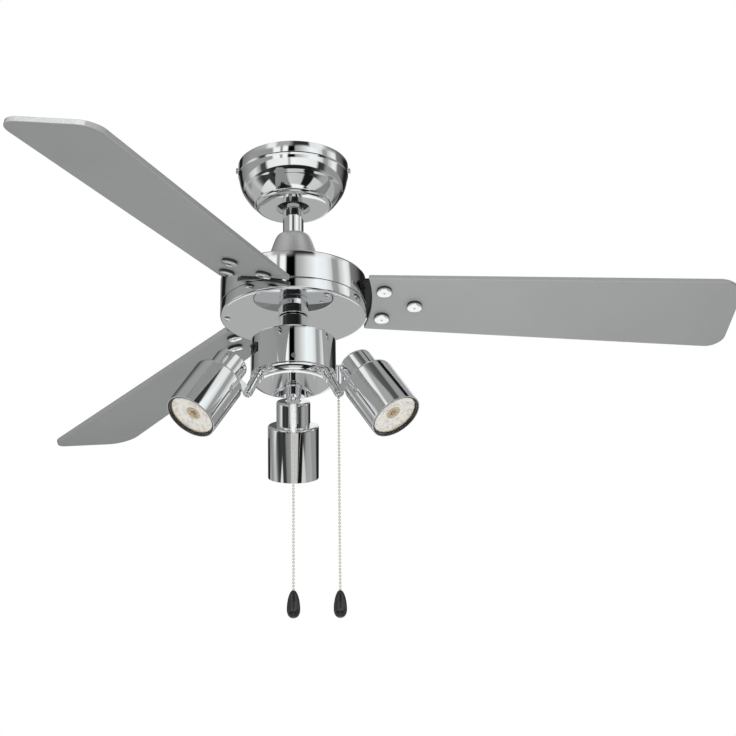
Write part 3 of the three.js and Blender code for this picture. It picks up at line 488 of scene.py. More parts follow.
# ---------------------------------------------------------------- cords: the two ball chains
def chain(name, node, body, x, y, top, bottom):
    """Balls on a wire from top to bottom, at about BEAD_PITCH."""
    count = int((top - bottom - BEAD_D) / BEAD_PITCH) + 1
    pitch = (top - bottom - BEAD_D) / (count - 1)
    half = BEAD_D / 2
    ball = lathe_mesh([(0, -half), *ball_side(half, 0, range(18, 180, 18)), (0, half)], 14)
    link = cylinder_mesh(LINK_R, -pitch / 2, pitch / 2, 8)
    parts = []
    for i in range(count):
        z = bottom + half + i * pitch
        parts.append(moved(ball, shift(x, y, z)))
        if i:
            parts.append(moved(link, shift(x, y, z - pitch / 2)))
    ob = build(name, *merge(*parts), NICKEL, body, node, sharp=60)


def teardrop(name, node, body, x, y, z):
    """A chain's fob, hung from height z."""
    side = curve((2.6, z), (5.6, z - 3.4), (7.7, z - 13), (7.7, z - 21.5), 14)
    foot = curve((7.7, z - 21.5), (7.7, z - 28.5), (4.6, z - 32), (0, z - 32), 12)[1:]
    return lathe(name, [(0, z), (1.6, z), *side, *foot], BLACK, body, node, shift(x, y, 0), 64,
                 sharp=50)


fan_fob = teardrop("fan_fob_drop", "fan_fob", "fan_pull", 0, 0, FAN_BOTTOM - GAP)
light_fob = teardrop("light_fob_drop", "light_fob", "light_pull", LIGHT_X, LIGHT_Y,
                     LIGHT_BOTTOM - GAP)
SLEEVE_TOP = NOZZLE_MOUTH - 3
sleeve = lathe("clear_sleeve", [
    (2.05, SLEEVE_TOP), (3.6, SLEEVE_TOP, 0.8), (3.6, SLEEVE_TOP - 27, 1.2),
    (2.9, SLEEVE_TOP - 30.6, 0.8), (2.5, SLEEVE_TOP - 36, 0.3), (2.05, SLEEVE_TOP - 36),
], CLEAR, "fan_pull", "fan_chain_sleeve", n=48)
chain("fan_ball_chain", "fan_chain", "fan_pull", 0, 0, FAN_TOP, FAN_BOTTOM)
chain("light_ball_chain", "light_chain", "light_pull", LIGHT_X, LIGHT_Y, LIGHT_TOP,
      LIGHT_BOTTOM)


# ---------------------------------------------------------------- canopy and bracket
def bowl(t):
    """The three swelling rings of the canopy, outside or a wall of thickness t in."""
    dish, dome, brim = FOOT_Z + DISH_H, FOOT_Z + DOME_H, BAND_Z - 2 * STEP
    return [
        (HOLE_R, FOOT_Z + t, 0.4), *bulge((FOOT_R, FOOT_Z + t), (DISH_R - t, dish), 1, 8),
        *bulge((DISH_R + STEP - t, dish + t), (DOME_R - t, dome), 0.3, 10),
        *bulge((DOME_R + STEP - t, dome + STEP + t), (RIM_R - STEP - t, brim), 0.6, 10),
    ]


lathe("canopy_bowl", [
    *bowl(0), (RIM_R, BAND_Z, 0.5), (RIM_R, RIM_Z, 0.5), (RIM_R - CANOPY_T, RIM_Z),
    (RIM_R - CANOPY_T, BAND_Z), *bowl(CANOPY_T)[::-1],
], PRESSED, "mount", "canopy", n=160)
KNOB_Z = -7.5
for side, tag in ((1, "right"), (-1, "left")):
    s = RIM_R + GAP
    place = shift(0, 0, KNOB_Z) @ turn_y(90 * side)
    knob = lathe(f"canopy_knob_{tag}", [
        (0, s - 9), (1.8, s - 9), (1.8, s), (3.6, s, 0.4), (3.6, s + 2.0, 0.6),
        (2.4, s + 2.6, 0.3), (0, s + 2.6),
    ], CHROME, "mount", f"canopy_screw_{tag}", place, 32)
    carve(knob, moved(box_mesh(0.9, 9, 1.0, 0, 0, s + 2.4), place))

STRAP_T, STRAP_HALF, LEG_Z, CRADLE_X = 2.5, 17, -15, 38
leg_x = RIM_R - CANOPY_T - GAP - STRAP_T - 1.5 - STRAP_T / 2
seat = SEAT_Z - STRAP_T / 2
bracket = build("bracket_flange", *strip(
    [(-leg_x, LEG_Z), (-leg_x, -STRAP_T / 2), (leg_x, -STRAP_T / 2), (leg_x, LEG_Z)],
    STRAP_T, STRAP_HALF, 3.0), ZINC, "mount", "ceiling_bracket")
carve(bracket, strip([(-CRADLE_X, -2.4), (-CRADLE_X, seat), (CRADLE_X, seat), (CRADLE_X, -2.4)],
                     STRAP_T, STRAP_HALF, 4.0), "UNION")
for x in (-50.6, 50.6):     # the slots for the ceiling's screws
    carve(bracket, box_mesh(16, 6, 9, x, 0, -STRAP_T / 2, 2.8, 6))
for x in (-19, 19):
    carve(bracket, moved(cylinder_mesh(3, -6, 3, 24), shift(x, 0, 0)))
carve(bracket, lathe_mesh(ball_side(26.6, BALL_Z, range(0, 181, 6)), 64))
carve(bracket, moved(cylinder_mesh(2.1, -80, 80, 20), shift(0, 0, KNOB_Z) @ turn_y(90)))
carve(bracket, box_mesh(16.2, 4, 4, -29.9, 0, BALL_Z), "UNION")     # the seat's key
bevel(bracket, 0.25, 2, 40)

# ---------------------------------------------------------------- hanger ball, rod, cover, yoke
BALL_R, BALL_PIN_Z, YOKE_PIN_Z = 26, BALL_Z + 6, -110
ROD_R, ROD_BORE_R = 12.5, 10.5
SEAM = 12.8                             # the bore of what sits on the rod


def bore_pin_hole(ob, z, half):
    carve(ob, moved(cylinder_mesh(3.3, -half, half, 32), shift(0, 0, z) @ turn_x(90)))


def cross_pin(name, node, z, half):
    lathe(name, [(0, -half), (3, -half, 0.6), (3, half, 0.6), (0, half)], STEEL, "hanging", node,
          shift(0, 0, z) @ turn_x(90), 32)


LOW_CUT, HIGH_CUT = -43.8, 38           # where the ball's outside begins and ends
shell = [(BALL_R * math.cos(math.radians(a)), BALL_Z + BALL_R * math.sin(math.radians(a)))
         for a in (LOW_CUT + (HIGH_CUT - LOW_CUT) * i / 18 for i in range(19))]
ball = lathe("hanger_ball_shell", [(SEAM, BALL_Z - 18), *shell, (SEAM, BALL_Z + 16)],
             DARK, "hanging", "hanger_ball", n=96)
bore_pin_hole(ball, BALL_PIN_Z, 40)
carve(ball, box_mesh(9, 5.2, 80, -BALL_R, 0, BALL_Z))
cross_pin("hanger_cross_pin", "hanger_pin", BALL_PIN_Z, 23.9)
rod = lathe("downrod_tube", [
    (ROD_BORE_R, -118), (ROD_R, -118, 0.4), (ROD_R, -16, 0.4), (ROD_BORE_R, -16),
], CHROME, "hanging", "downrod", n=96)
for z in (BALL_PIN_Z, YOKE_PIN_Z):
    bore_pin_hole(rod, z, 20)

C_TOP, C_BOT = -96.5, -152.0
bell_out = [
    (SEAM, C_TOP, 0.3), (16.5, C_TOP, 0.6),
    *curve((19.3, C_TOP - 1.2), (22.5, C_TOP - 4), (26.5, C_TOP - 19.2), (30.5, C_TOP - 32), 16),
    *curve((31.2, C_TOP - 35), (33.2, C_TOP - 42), (38, C_BOT + 9), (38, C_BOT + 4), 10),
    (38, C_BOT, 0.3),
]
bell_in = [(36.8, C_BOT), (36.8, C_BOT + 5), (28.8, C_TOP - 32), (19.3, C_TOP - 5.2),
           (16.5, C_TOP - 1.2), (SEAM, C_TOP - 1.2)]
lathe("coupling_bell", [*bell_out, *bell_in], SATIN, "hanging", "coupling_cover", n=112)
yoke = lathe("yoke_body", [
    (SEAM, -103), (17, -103, 0.8), (17, -138, 2), (21, -142, 1), (21, -150, 0.8), (8.3, -150),
    (8.3, -119), (SEAM, -119),
], ZINC, "hanging", "yoke", n=64)
bore_pin_hole(yoke, YOKE_PIN_Z, 40)
cross_pin("yoke_cross_pin", "yoke_pin", YOKE_PIN_Z, 17)

# ---------------------------------------------------------------- motor drum
DRUM_T, SHAFT_HOLE_R, SEAM_GAP = 2, 9.5, 0.35

lathe("drum_shell", [
    (SHAFT_HOLE_R, DRUM_TOP), (40, DRUM_TOP), (40.6, DRUM_TOP - 0.5), (41.2, DRUM_TOP),
    (DRUM_R, DRUM_TOP, 3.0), (DRUM_R, JOINT + SEAM_GAP, 0.3), (DRUM_R - DRUM_T, JOINT + SEAM_GAP),
    (DRUM_R - DRUM_T, DRUM_TOP - DRUM_T), (SHAFT_HOLE_R, DRUM_TOP - DRUM_T),
], CHROME, "rotor", "motor_shell", n=192)
lathe("drum_cover", [
    (SHAFT_HOLE_R, DRUM_BOT), (20, DRUM_BOT), (20.5, DRUM_BOT + 0.5), (21, DRUM_BOT),
    (DRUM_R, DRUM_BOT, 3.0), (DRUM_R, JOINT - SEAM_GAP, 0.3), (DRUM_R - DRUM_T, JOINT - SEAM_GAP),
    (DRUM_R - DRUM_T, DRUM_BOT + DRUM_T), (SHAFT_HOLE_R, DRUM_BOT + DRUM_T),
], CHROME, "rotor", "bottom_cover", n=192)


def cross_recess(head, place, r, deep, z, up):
    """Cuts a cross slot in a screw head whose top is at z."""
    mid = z - up * deep / 2 + up * 0.01
    for w, d in ((2 * r, r * 0.34), (r * 0.34, 2 * r)):
        carve(head, moved(box_mesh(w, d, deep, 0, 0, mid), place))


for i, az in enumerate((60, 180, 300), 1):
    z = DRUM_BOT - GAP
    place = turn_z(az) @ shift(79, 0, 0)
    head = lathe(f"drum_screw_{i}", [
        (0, z - 2.2), (2.2, z - 2.1), (3.4, z - 1.5), (4, z - 0.7), (4, z, 0.2), (2, z),
        (2, z + 16), (0, z + 16),
    ], CHROME, "rotor", f"cover_screw_{i}", place, 32)
    cross_recess(head, place, 1.8, 1.2, z - 2.2, -1)

# ---------------------------------------------------------------- blades and irons
# a blade's frame: x from the root outwards, y across, z up from its underside
U0, OFF, AXIS_Z, BLADE_T = 100.0, -5.5, DRUM_BOT + 18.05, 6.0
DROOP, PITCH = 1.0, 15.1
IRON_T, IRON_HALF = 3, 20
HUG_R = 89.2                            # the iron's shoulders go round the drum at this radius


def blade_place(k):
    return turn_z(1.8 + 120 * k) @ shift(U0, OFF, AXIS_Z) @ turn_y(DROOP) @ turn_x(-PITCH)


def corner(a, b, c, f):
    """The arc of radius f that rounds the corner b."""
    u, v = (a - b).normalized(), (c - b).normalized()
    half = math.acos(u.dot(v)) / 2
    reach = f / math.tan(half)
    centre = b + (u + v).normalized() * (f / math.sin(half))
    s, e = b + u * reach - centre, b + v * reach - centre
    start = math.atan2(s.y, s.x)
    swing = (math.atan2(e.y, e.x) - start + math.pi) % (2 * math.pi) - math.pi
    steps = 14 if f > 5 else 4
    return [(centre.x + f * math.cos(start + swing * t / steps),
             centre.y + f * math.sin(start + swing * t / steps)) for t in range(steps + 1)]


def blade_outline():
    """The board's outline in its own plane, from the middle of the root round by the lead."""
    root, tip, slant, arc_r = 94 - U0, 533.5 - U0, 4.8, 175
    root_lead, root_trail, tip_lead, tip_trail = 46.5, 48.7, 59.5, 65.3

    def hollow(v):
        """A point of the hollow root at v across."""
        return root - (arc_r - math.sqrt(arc_r ** 2 - v * v)), v
    ring = [(root, 0), hollow(-root_lead), (tip + slant, -tip_lead), (tip - slant, tip_trail),
            hollow(root_trail), (root, 0)]
    pts = [hollow(-root_lead * t / 12) for t in range(12)]
    for i, f in enumerate((2.0, 28, 24, 2.0), 1):
        pts += corner(Vector(ring[i - 1]), Vector(ring[i]), Vector(ring[i + 1]), f)
    return pts + [hollow(root_trail * t / 12) for t in range(11, 0, -1)]


def iron_outline():
    """A stem from inside the drum, shoulders that hug its wall, and a waist out to the tip."""
    inner, row, tip = 67 - U0, 7.5, 60

    def shoulder(side):
        """Along the drum's wall to the widest place, then out to the waist."""
        hug = [(math.sqrt(HUG_R ** 2 - (side * v * 0.966 + OFF) ** 2) - U0, side * v)
               for v in range(20, 35, 2)]
        return hug + curve(hug[-1], (row - 16, side * 40), (row + 13, side * 37),
                           (row + 17, side * 18), 14)[1:]
    lead = shoulder(-1)
    nose = curve((row + 17, -18), (row + 26, -14), (tip - 12, -13), (tip - 4, -6.5), 8)[1:]
    nose += curve((tip - 4, -6.5), (tip - 1, -4), (tip, -2), (tip, 0), 5)[1:]
    back = [(inner, IRON_HALF), *shoulder(1), *[(x, -y) for x, y in nose]]
    return [(inner, -IRON_HALF), *lead, *nose, *back[::-1][1:]]


SCREWS = [(7.5, 25.2), (7.5, -25.2), (45.5, 1.0)]
WASHER_T, WASHER_R, HEAD_R = 3, 9.3, 9.0
board = slab(blade_outline(), 0, BLADE_T)
iz = BLADE_T + GAP
for k in range(3):
    place = blade_place(k)
    ob = build(f"blade_board_{k + 1}", *board, BOARD, "rotor", f"blade_{k + 1}", place,
               smooth=False)
    ob.data.materials.append(PAINTED_SHADE_SIDE)
    ob.data.materials.append(PAINTED_HIGHLIGHT_TIP)
    # the end face that points outwards gets the lighter copy (painted highlight); the other sides
    # get the darker copy (painted shade)
    outwards = place.to_3x3() @ Vector((1, 0, 0))
    for p in ob.data.polygons:
        if len(p.vertices) == 4:    # a side face, as the two flats have many corners
            p.material_index = 2 if p.normal.dot(outwards) > 0.85 else 1
    ob.data.shade_smooth()
    ob.data.set_sharp_from_angle(angle=math.radians(40))
    bevel(ob, 0.8, 3, 50)
    iron = build(f"blade_iron_plate_{k + 1}", *slab(iron_outline(), iz, iz + IRON_T), DARK,
                 "rotor", f"blade_iron_{k + 1}", place)
    bevel(iron, 0.5, 2, 50)
    for j, (x, y) in enumerate(SCREWS, 1):
        tag, spot = f"{k + 1}_{j}", place @ shift(x, y, 0)
        w = -GAP - WASHER_T
        # black fibre washer; its black also serves as painted shade, the dark crescent seen just
        # above each screw head
        lathe(f"blade_washer_{tag}", [
            (2.6, -GAP), (WASHER_R, -GAP, 0.3), (WASHER_R, w, 0.4), (2.6, w),
        ], BLACK, "rotor", None, spot, 48)
        head = lathe(f"blade_screw_{tag}", [
            (0, w - 1.5), (8.2, w - 1.35), (HEAD_R, w - 1.0, 0.3), (HEAD_R, w, 0.1), (2.5, w),
            (2.5, iz), (0, iz),
        ], CHROME, "rotor", None, spot, 48)
        cross_recess(head, spot, 2.2, 1.1, w - 1.5, -1)
        nut = iz + IRON_T
        lathe(f"blade_nut_{tag}", [
            (0, nut), (4.0, nut, 0.2), (3.4, nut + 1.6, 0.8), (0, nut + 1.8),
        ], ZINC, "rotor", None, spot, 32)

# ---------------------------------------------------------------- neck, switch housing, light plate
NECK_R, TUBE_R = 18, 8.3
lathe("neck_cup", [
    (TUBE_R, NECK_TOP), (NECK_R, NECK_TOP, 0.8), (NECK_R, HOUSING_TOP + GAP, 0.3),
    (15.5, HOUSING_TOP + GAP), (15.5, NECK_TOP - 2.5), (TUBE_R, NECK_TOP - 2.5),
], CHROME, "hanging", "switch_neck", n=96)
SHELL_T = 1.5
housing = lathe("housing_drum", [
    (TUBE_R, HOUSING_TOP), (HOUSING_R, HOUSING_TOP, 3.0), (HOUSING_R, HOUSING_BOT, 0.4),
    (HOUSING_R - SHELL_T, HOUSING_BOT), (HOUSING_R - SHELL_T, HOUSING_TOP - SHELL_T),
    (TUBE_R, HOUSING_TOP - SHELL_T),
], CHROME, "hanging", "switch_housing", n=160)
REV_Z = HOUSING_TOP - 19
rev_turn = turn_z(205)
carve(housing, moved(box_mesh(12, 11.1, 9.1, HOUSING_R, 0, REV_Z), rev_turn))
carve(housing, moved(cylinder_mesh(4.8, HOUSING_R - 8, HOUSING_R + 4, 32),
                     turn_z(LIGHT_AZ) @ shift(0, 0, STUB_Z) @ turn_y(90)))
LIP_R = HOUSING_R - 0.9                 # the light plate's lip stands inside the housing
lathe("light_dish", [
    (5.3, PLATE_BOT), (40.6, PLATE_BOT, 0.5),
    *bulge((41.4, PLATE_BOT + 0.1), (LIP_R, PLATE_TOP - 1), 1, 10)[1:], (LIP_R, PLATE_TOP, 0.2),
    (HOUSING_R - 1.8, PLATE_TOP), (HOUSING_R - 1.8, PLATE_TOP + 5.8),
    (HOUSING_R - 3.3, PLATE_TOP + 5.8), (HOUSING_R - 3.3, PLATE_TOP - 1),
    (40.4, PLATE_BOT + SHELL_T), (5.3, PLATE_BOT + SHELL_T),
], CHROME, "hanging", "light_plate", n=160)

# reverse switch: a framed plate with a recessed body and a ribbed slider
wall = HOUSING_R + GAP
switch = build("reverse_plate", *moved(box_mesh(1.2, 14, 12, wall + 0.6, 0, REV_Z), rev_turn),
               BLACK, "hanging", "reverse_switch", smooth=False)
carve(switch, moved(box_mesh(13.2, 10.5, 8.5, wall - 5.4, 0, REV_Z), rev_turn), "UNION")
carve(switch, moved(box_mesh(12, 4, 7.6, wall + 1.2, 0, REV_Z), rev_turn))
bevel(switch, 0.35, 3, 40)
ribs = merge(box_mesh(8.7, 3.4, 3.0, wall + 0.05, 0, REV_Z + 2),
             *[box_mesh(0.5, 3.4, 0.5, wall + 4.4, 0, REV_Z + 2 + d) for d in (-0.9, 0, 0.9)])
thumb = build("reverse_thumb", *moved(ribs, rev_turn), BLACK, "reverse_key", "reverse_slider",
              smooth=False)
bevel(thumb, 0.12, 2, 40)

place = turn_z(270) @ shift(HOUSING_R, 0, HOUSING_BOT + 7) @ turn_y(90)
head = lathe("housing_screw_head", [
    (0, -6), (1.6, -6), (1.6, 0.3), (2.8, 0.3, 0.1), (2.6, 1.2, 0.3), (1.6, 1.8, 0.3), (0, 1.9),
], STEEL, "hanging", "housing_screw", place, 32)
cross_recess(head, place, 1.3, 0.9, 1.9, 1)

# ---------------------------------------------------------------- spotlights
PIVOT_BACK = 6                          # from the arm's tip to the knuckle's pin
EAR_R, EAR_T = 5.2, 3
BARREL_R, BARREL_H, NAPE_R, NAPE_H = 31.2, 66, 20.7, 96         # wide front, narrow rear
BARREL_BORE_R, NAPE_BORE_R = 30, 19.5
DIP = 56                                # a lamp looks this far below level
UP = Vector((0, 0, 1))


def frame_of(x, z, origin):
    m = Matrix((x, z.cross(x), z)).transposed().to_4x4()
    m.translation = origin
    return m


def armframe(az):
    """From the plate's boss down along the arm; also the arm's length."""
    out = Vector((*polar(1, az), 0))
    root = out * (HOUSING_R - 5.1) + UP * (PLATE_TOP - 1.3)
    tip = root + out * 17.8 - UP * 33.8
    return frame_of(UP.cross(out), (tip - root).normalized(), root), (tip - root).length


def spotframe(az):
    """From the middle of the barrel's mouth back along its axis; x points at the arm."""
    out, dip = Vector((*polar(1, az), 0)), math.radians(DIP)
    back = -out * math.cos(dip) + UP * math.sin(dip)
    to_arm = -out * math.sin(dip) - UP * math.cos(dip)
    return frame_of(to_arm, back, out * (HOUSING_R + 85.4) + UP * (PLATE_TOP - 76.1))


LAMP_RINGS, LAMP_SIDES = 9, 26
LAMP_R, LAMP_INNER_R, LAMP_CORE_R = 28.2, 26.8, 3.0


def reflector():
    """A bowl of flat facets, turned a half step from ring to ring."""
    verts, faces = [], []
    for r in range(LAMP_RINGS + 1):
        span = LAMP_CORE_R - LAMP_INNER_R
        rad = LAMP_R if r == 0 else LAMP_INNER_R + span * (r - 1) / (LAMP_RINGS - 1)
        depth = 4.4 + 3 * math.sqrt(1 - (rad / 28.4) ** 2)
        verts += [(rad * math.cos(a), rad * math.sin(a), depth)
                  for a in (2 * math.pi * (q + 0.5 * (r % 2)) / LAMP_SIDES
                            for q in range(LAMP_SIDES))]
    for r in range(LAMP_RINGS):
        for q in range(LAMP_SIDES):
            a, b = r * LAMP_SIDES + q, r * LAMP_SIDES + (q + 1) % LAMP_SIDES
            c, d = a + LAMP_SIDES, b + LAMP_SIDES
            faces += [[a, b, d], [a, d, c]] if r % 2 else [[a, b, c], [b, d, c]]
    return verts, faces


def arm(tag, body, m, length):
    """The boss on the plate, and the arm with its forked tip and pin."""
    lathe(f"arm_boss_{tag}", [(3.8, 1), (8, 1), (8, 8.2, 1.2), (3.8, 8.2)], CHROME, "hanging",
          None, m, 48)
    tube = lathe(f"arm_tube_{tag}", [
        (0, -3), (3.4, -3), (3.4, 8.5), (7.2, 8.5, 0.6), (7.2, 12.5, 0.6), (5.7, 12.5),
        (5.7, length - 2, 1.4), (4.2, length, 0.8), (0, length),
    ], CHROME, body, f"spot_arm_{tag}", m, 48)
    carve(tube, moved(box_mesh(3.6, 23, 18, 0, 0, length + 1 - 9), m))
    place = m @ shift(0, 0, length - PIVOT_BACK) @ turn_y(90)
    pin = lathe(f"knuckle_bolt_{tag}", [(0, -5.7), (2, -5.7, 0.3), (2, 5.7, 0.3), (0, 5.7)],
                ZINC, body, f"knuckle_pin_{tag}", place, 32)
    carve(pin, moved(box_mesh(4.4, 0.7, 1.2, 0, 0, 5.6), place))


def ear(tag, body, s, pivot):
    """The flat lug between barrel and pin, round about the pin's hole."""
    round_end = [(pivot.x + x, pivot.z + z)
                 for x, z in (polar(EAR_R, a) for a in range(-90, 91, 9))]
    plate = slab([(20, pivot.z - EAR_R), *round_end, (20, pivot.z + EAR_R)],
                 -EAR_T / 2, EAR_T / 2)
    lug = build(f"spot_ear_{tag}", *moved(plate, s @ turn_x(90)), CHROME, body)
    carve(lug, moved(cylinder_mesh(2.3, -3, 3, 32), s @ shift(pivot.x, 0, pivot.z) @ turn_x(90)))
    bevel(lug, 0.3, 2, 50)


def lamp(tag, body, s):
    """Lens and retaining ring over a faceted bowl, with the capsule in its middle."""
    lathe(f"lamp_ring_{tag}", [(28.3, 0.5, 0.3), (29.8, 0.5, 0.3), (29.8, 6), (28.3, 6)], BLACK,
          body, None, s, 96)
    lathe(f"lamp_lens_{tag}", [
        (0, 2.4), (24, 2.7), (LAMP_R, 3.6, 0.4), (LAMP_R, 5.2), (0, 4.4),
    ], LENS, body, f"spot_lamp_{tag}", s, 96)
    bowl_ob = build(f"lamp_bowl_{tag}", *reflector(), MIRROR, body, None, s, smooth=False)
    bowl_ob.data.materials.append(STRAW)
    bowl_ob.data.materials.append(AMBER)
    ring_material = {0: 1, LAMP_RINGS - 2: 1, LAMP_RINGS - 1: 2}
    for p in bowl_ob.data.polygons:
        p.material_index = ring_material.get(p.index // (2 * LAMP_SIDES), 0)
    lathe(f"lamp_capsule_{tag}", [
        (0, 5.9), (1.2, 6.0), (2.0, 6.6), (2.2, 8), (2.2, 24), (0, 24),
    ], CLEAR, body, None, s, 32)
    lathe(f"lamp_pins_{tag}", [(0.6, 24), (1.2, 24), (1.2, 31), (0.6, 31)], COPPER, body, None,
          s, 16)


for tag, az in enumerate((210, 330, 90), 1):
    m, length = armframe(az)
    s = spotframe(az)
    head_body = f"spot_head_{tag}"
    arm(tag, f"spot_arm_{tag}", m, length)
    barrel = lathe(f"spot_barrel_{tag}", [
        (BARREL_R, 0, 0.4), (BARREL_R, BARREL_H, 3.5), (NAPE_R, BARREL_H, 0.6),
        (NAPE_R, NAPE_H, 3.5), (3.5, NAPE_H, 0.6), (3.5, NAPE_H - 1.2),
        (NAPE_BORE_R, NAPE_H - 2.2), (NAPE_BORE_R, BARREL_H - 1.2),
        (BARREL_BORE_R, BARREL_H - 2.2), (BARREL_BORE_R, 0),
    ], CHROME, head_body, f"spot_shell_{tag}", s, 128)
    ear(tag, head_body, s, s.inverted() @ (m @ Vector((0, 0, length - PIVOT_BACK))))
    vent = s @ turn_z(-125) @ shift(20, 0, 80) @ turn_y(90)
    carve(barrel, moved(box_mesh(18, 4.4, 8, 0, 0, 0, 2.1, 6), vent))
    lathe(f"cable_gland_{tag}", [
        (1.6, 95.4), (5.6, 96.05), (5.6, 98.0, 0.5), (4.2, 98.6, 0.3), (4.0, 101, 1.0),
        (1.6, 101.2),
    ], BLACK, head_body, None, s, 32)
    lamp(tag, head_body, s)

# ---------------------------------------------------------------- chain outlets
CHAIN_BORE_R = 2.4
lathe("fan_chain_bell", [
    (CHAIN_BORE_R, PLATE_BOT + 4.8), (5, PLATE_BOT + 4.8), (5, NOZZLE_TOP), (8.5, NOZZLE_TOP, 0.3),
    (8.5, NOZZLE_TOP - 2.7, 0.8), (7, NOZZLE_TOP - 2.7, 0.5), (7, NOZZLE_MOUTH + 3.5, 2),
    (8.2, NOZZLE_MOUTH + 1, 0.6), (7.6, NOZZLE_MOUTH, 0.4), (3.3, NOZZLE_MOUTH, 0.6),
    (CHAIN_BORE_R, NOZZLE_MOUTH + 2),
], CHROME, "hanging", "fan_nozzle", n=64)
spin = turn_z(LIGHT_AZ)
elbow = lathe("light_chain_elbow", [
    (0, ELBOW_TOP + 1.5), (3.5, ELBOW_TOP + 1.2, 2.0), (6.5, ELBOW_TOP - 2, 2.5),
    (6.5, LIGHT_MOUTH + 2.5, 0.6), (7.5, LIGHT_MOUTH + 1, 0.4), (6.9, LIGHT_MOUTH, 0.3),
    (CHAIN_BORE_R, LIGHT_MOUTH, 0.6), (CHAIN_BORE_R, ELBOW_TOP - 3), (0, ELBOW_TOP - 3),
], CHROME, "hanging", "light_nozzle", spin @ shift(LIGHT_RHO, 0, 0), n=64)
along_stub = spin @ shift(0, 0, STUB_Z) @ turn_y(90)
carve(elbow, moved(cylinder_mesh(4.5, 42, LIGHT_RHO - 2.5, 40), along_stub), "UNION")
carve(elbow, moved(cylinder_mesh(6.9, HOUSING_R + GAP, HOUSING_R + 2.7, 48, 0.5), along_stub),
      "UNION")

# ---------------------------------------------------------------- nodes kept as they are, inside
KEPT = {
    "motor_shaft": STEEL, "stator_core": STEEL, "stator_winding": COPPER,
    "upper_bearing": STEEL, "lower_bearing": STEEL, "rotor_ring": STEEL, "shaft_nut": ZINC,
    "fan_switch": WHITE, "light_switch": WHITE, "capacitor": BLACK,
    **{f"lamp_holder_{i}": CERAMIC for i in (1, 2, 3)},
}
for name, material in KEPT.items():
    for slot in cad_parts[name].material_slots:
        slot.material = material

# ---------------------------------------------------------------- floor and studio
FLOOR_Z, FLOOR_HALF = -7.0, 20          # low, so that views from below miss it
floor = bpy.data.meshes.new("floor")
floor.from_pydata([(x * FLOOR_HALF, y * FLOOR_HALF, FLOOR_Z)
                   for x, y in ((-1, -1), (1, -1), (1, 1), (-1, 1))], [], [(0, 1, 2, 3)])
floor_ob = bpy.data.objects.new("floor", floor)
pale = Nodes("pale_floor", Roughness=0.7)
pale.link(pale.colour(pale.noise(3, 3), (0.84, 0.84, 0.84), (0.86, 0.86, 0.86)),
          pale.bsdf.inputs["Base Color"])
floor.materials.append(pale.mat)
floor_ob.visible_glossy = False
scene.collection.objects.link(floor_ob)


class Sky(Nodes):
    """The studio round the fan: what each direction shows to polished metal."""

    def __init__(self):
        world = bpy.data.worlds.new("studio")
        scene.world = world
        world.use_nodes = True
        self.tree = world.node_tree
        self.bg = self.tree.nodes["Background"]
        s = self.add("ShaderNodeSeparateXYZ")
        self.link(self.add("ShaderNodeTexCoord").outputs["Generated"], s.inputs[0])
        self.z = s.outputs["Z"]
        back = self.maths("MULTIPLY", s.outputs["Y"], -1.0)
        angle = self.maths("ARCTAN2", s.outputs["X"], back)
        self.turn = self.maths("MULTIPLY_ADD", angle, 0.5 / math.pi, 0.5)

    def maths(self, operation, *values):
        n = self.add("ShaderNodeMath", operation=operation)
        for i, v in enumerate(values):
            if isinstance(v, float):
                n.inputs[i].default_value = v
            else:
                self.link(v, n.inputs[i])
        return n.outputs[0]

    def row(self, stops):
        """A ramp round the horizon through (azimuth, level); a level is grey or (r, g, b)."""
        return self.colour(self.turn, *[
            ((azimuth + 180.0) / 360.0, level if isinstance(level, tuple) else (level,) * 3)
            for azimuth, level in stops])

    def mix(self, fac, a, b):
        m = self.add("ShaderNodeMix", data_type="RGBA")
        for i, v in ((0, fac), (6, a), (7, b)):
            if isinstance(v, tuple):
                m.inputs[i].default_value = v
            else:
                self.link(v, m.inputs[i])
        return m.outputs[2]

    def step(self, value, lo, hi):
        r = self.add("ShaderNodeMapRange", interpolation_type="SMOOTHSTEP")
        r.inputs["From Min"].default_value = lo
        r.inputs["From Max"].default_value = hi
        self.link(value, r.inputs["Value"])
        return r.outputs["Result"]


sky = Sky()
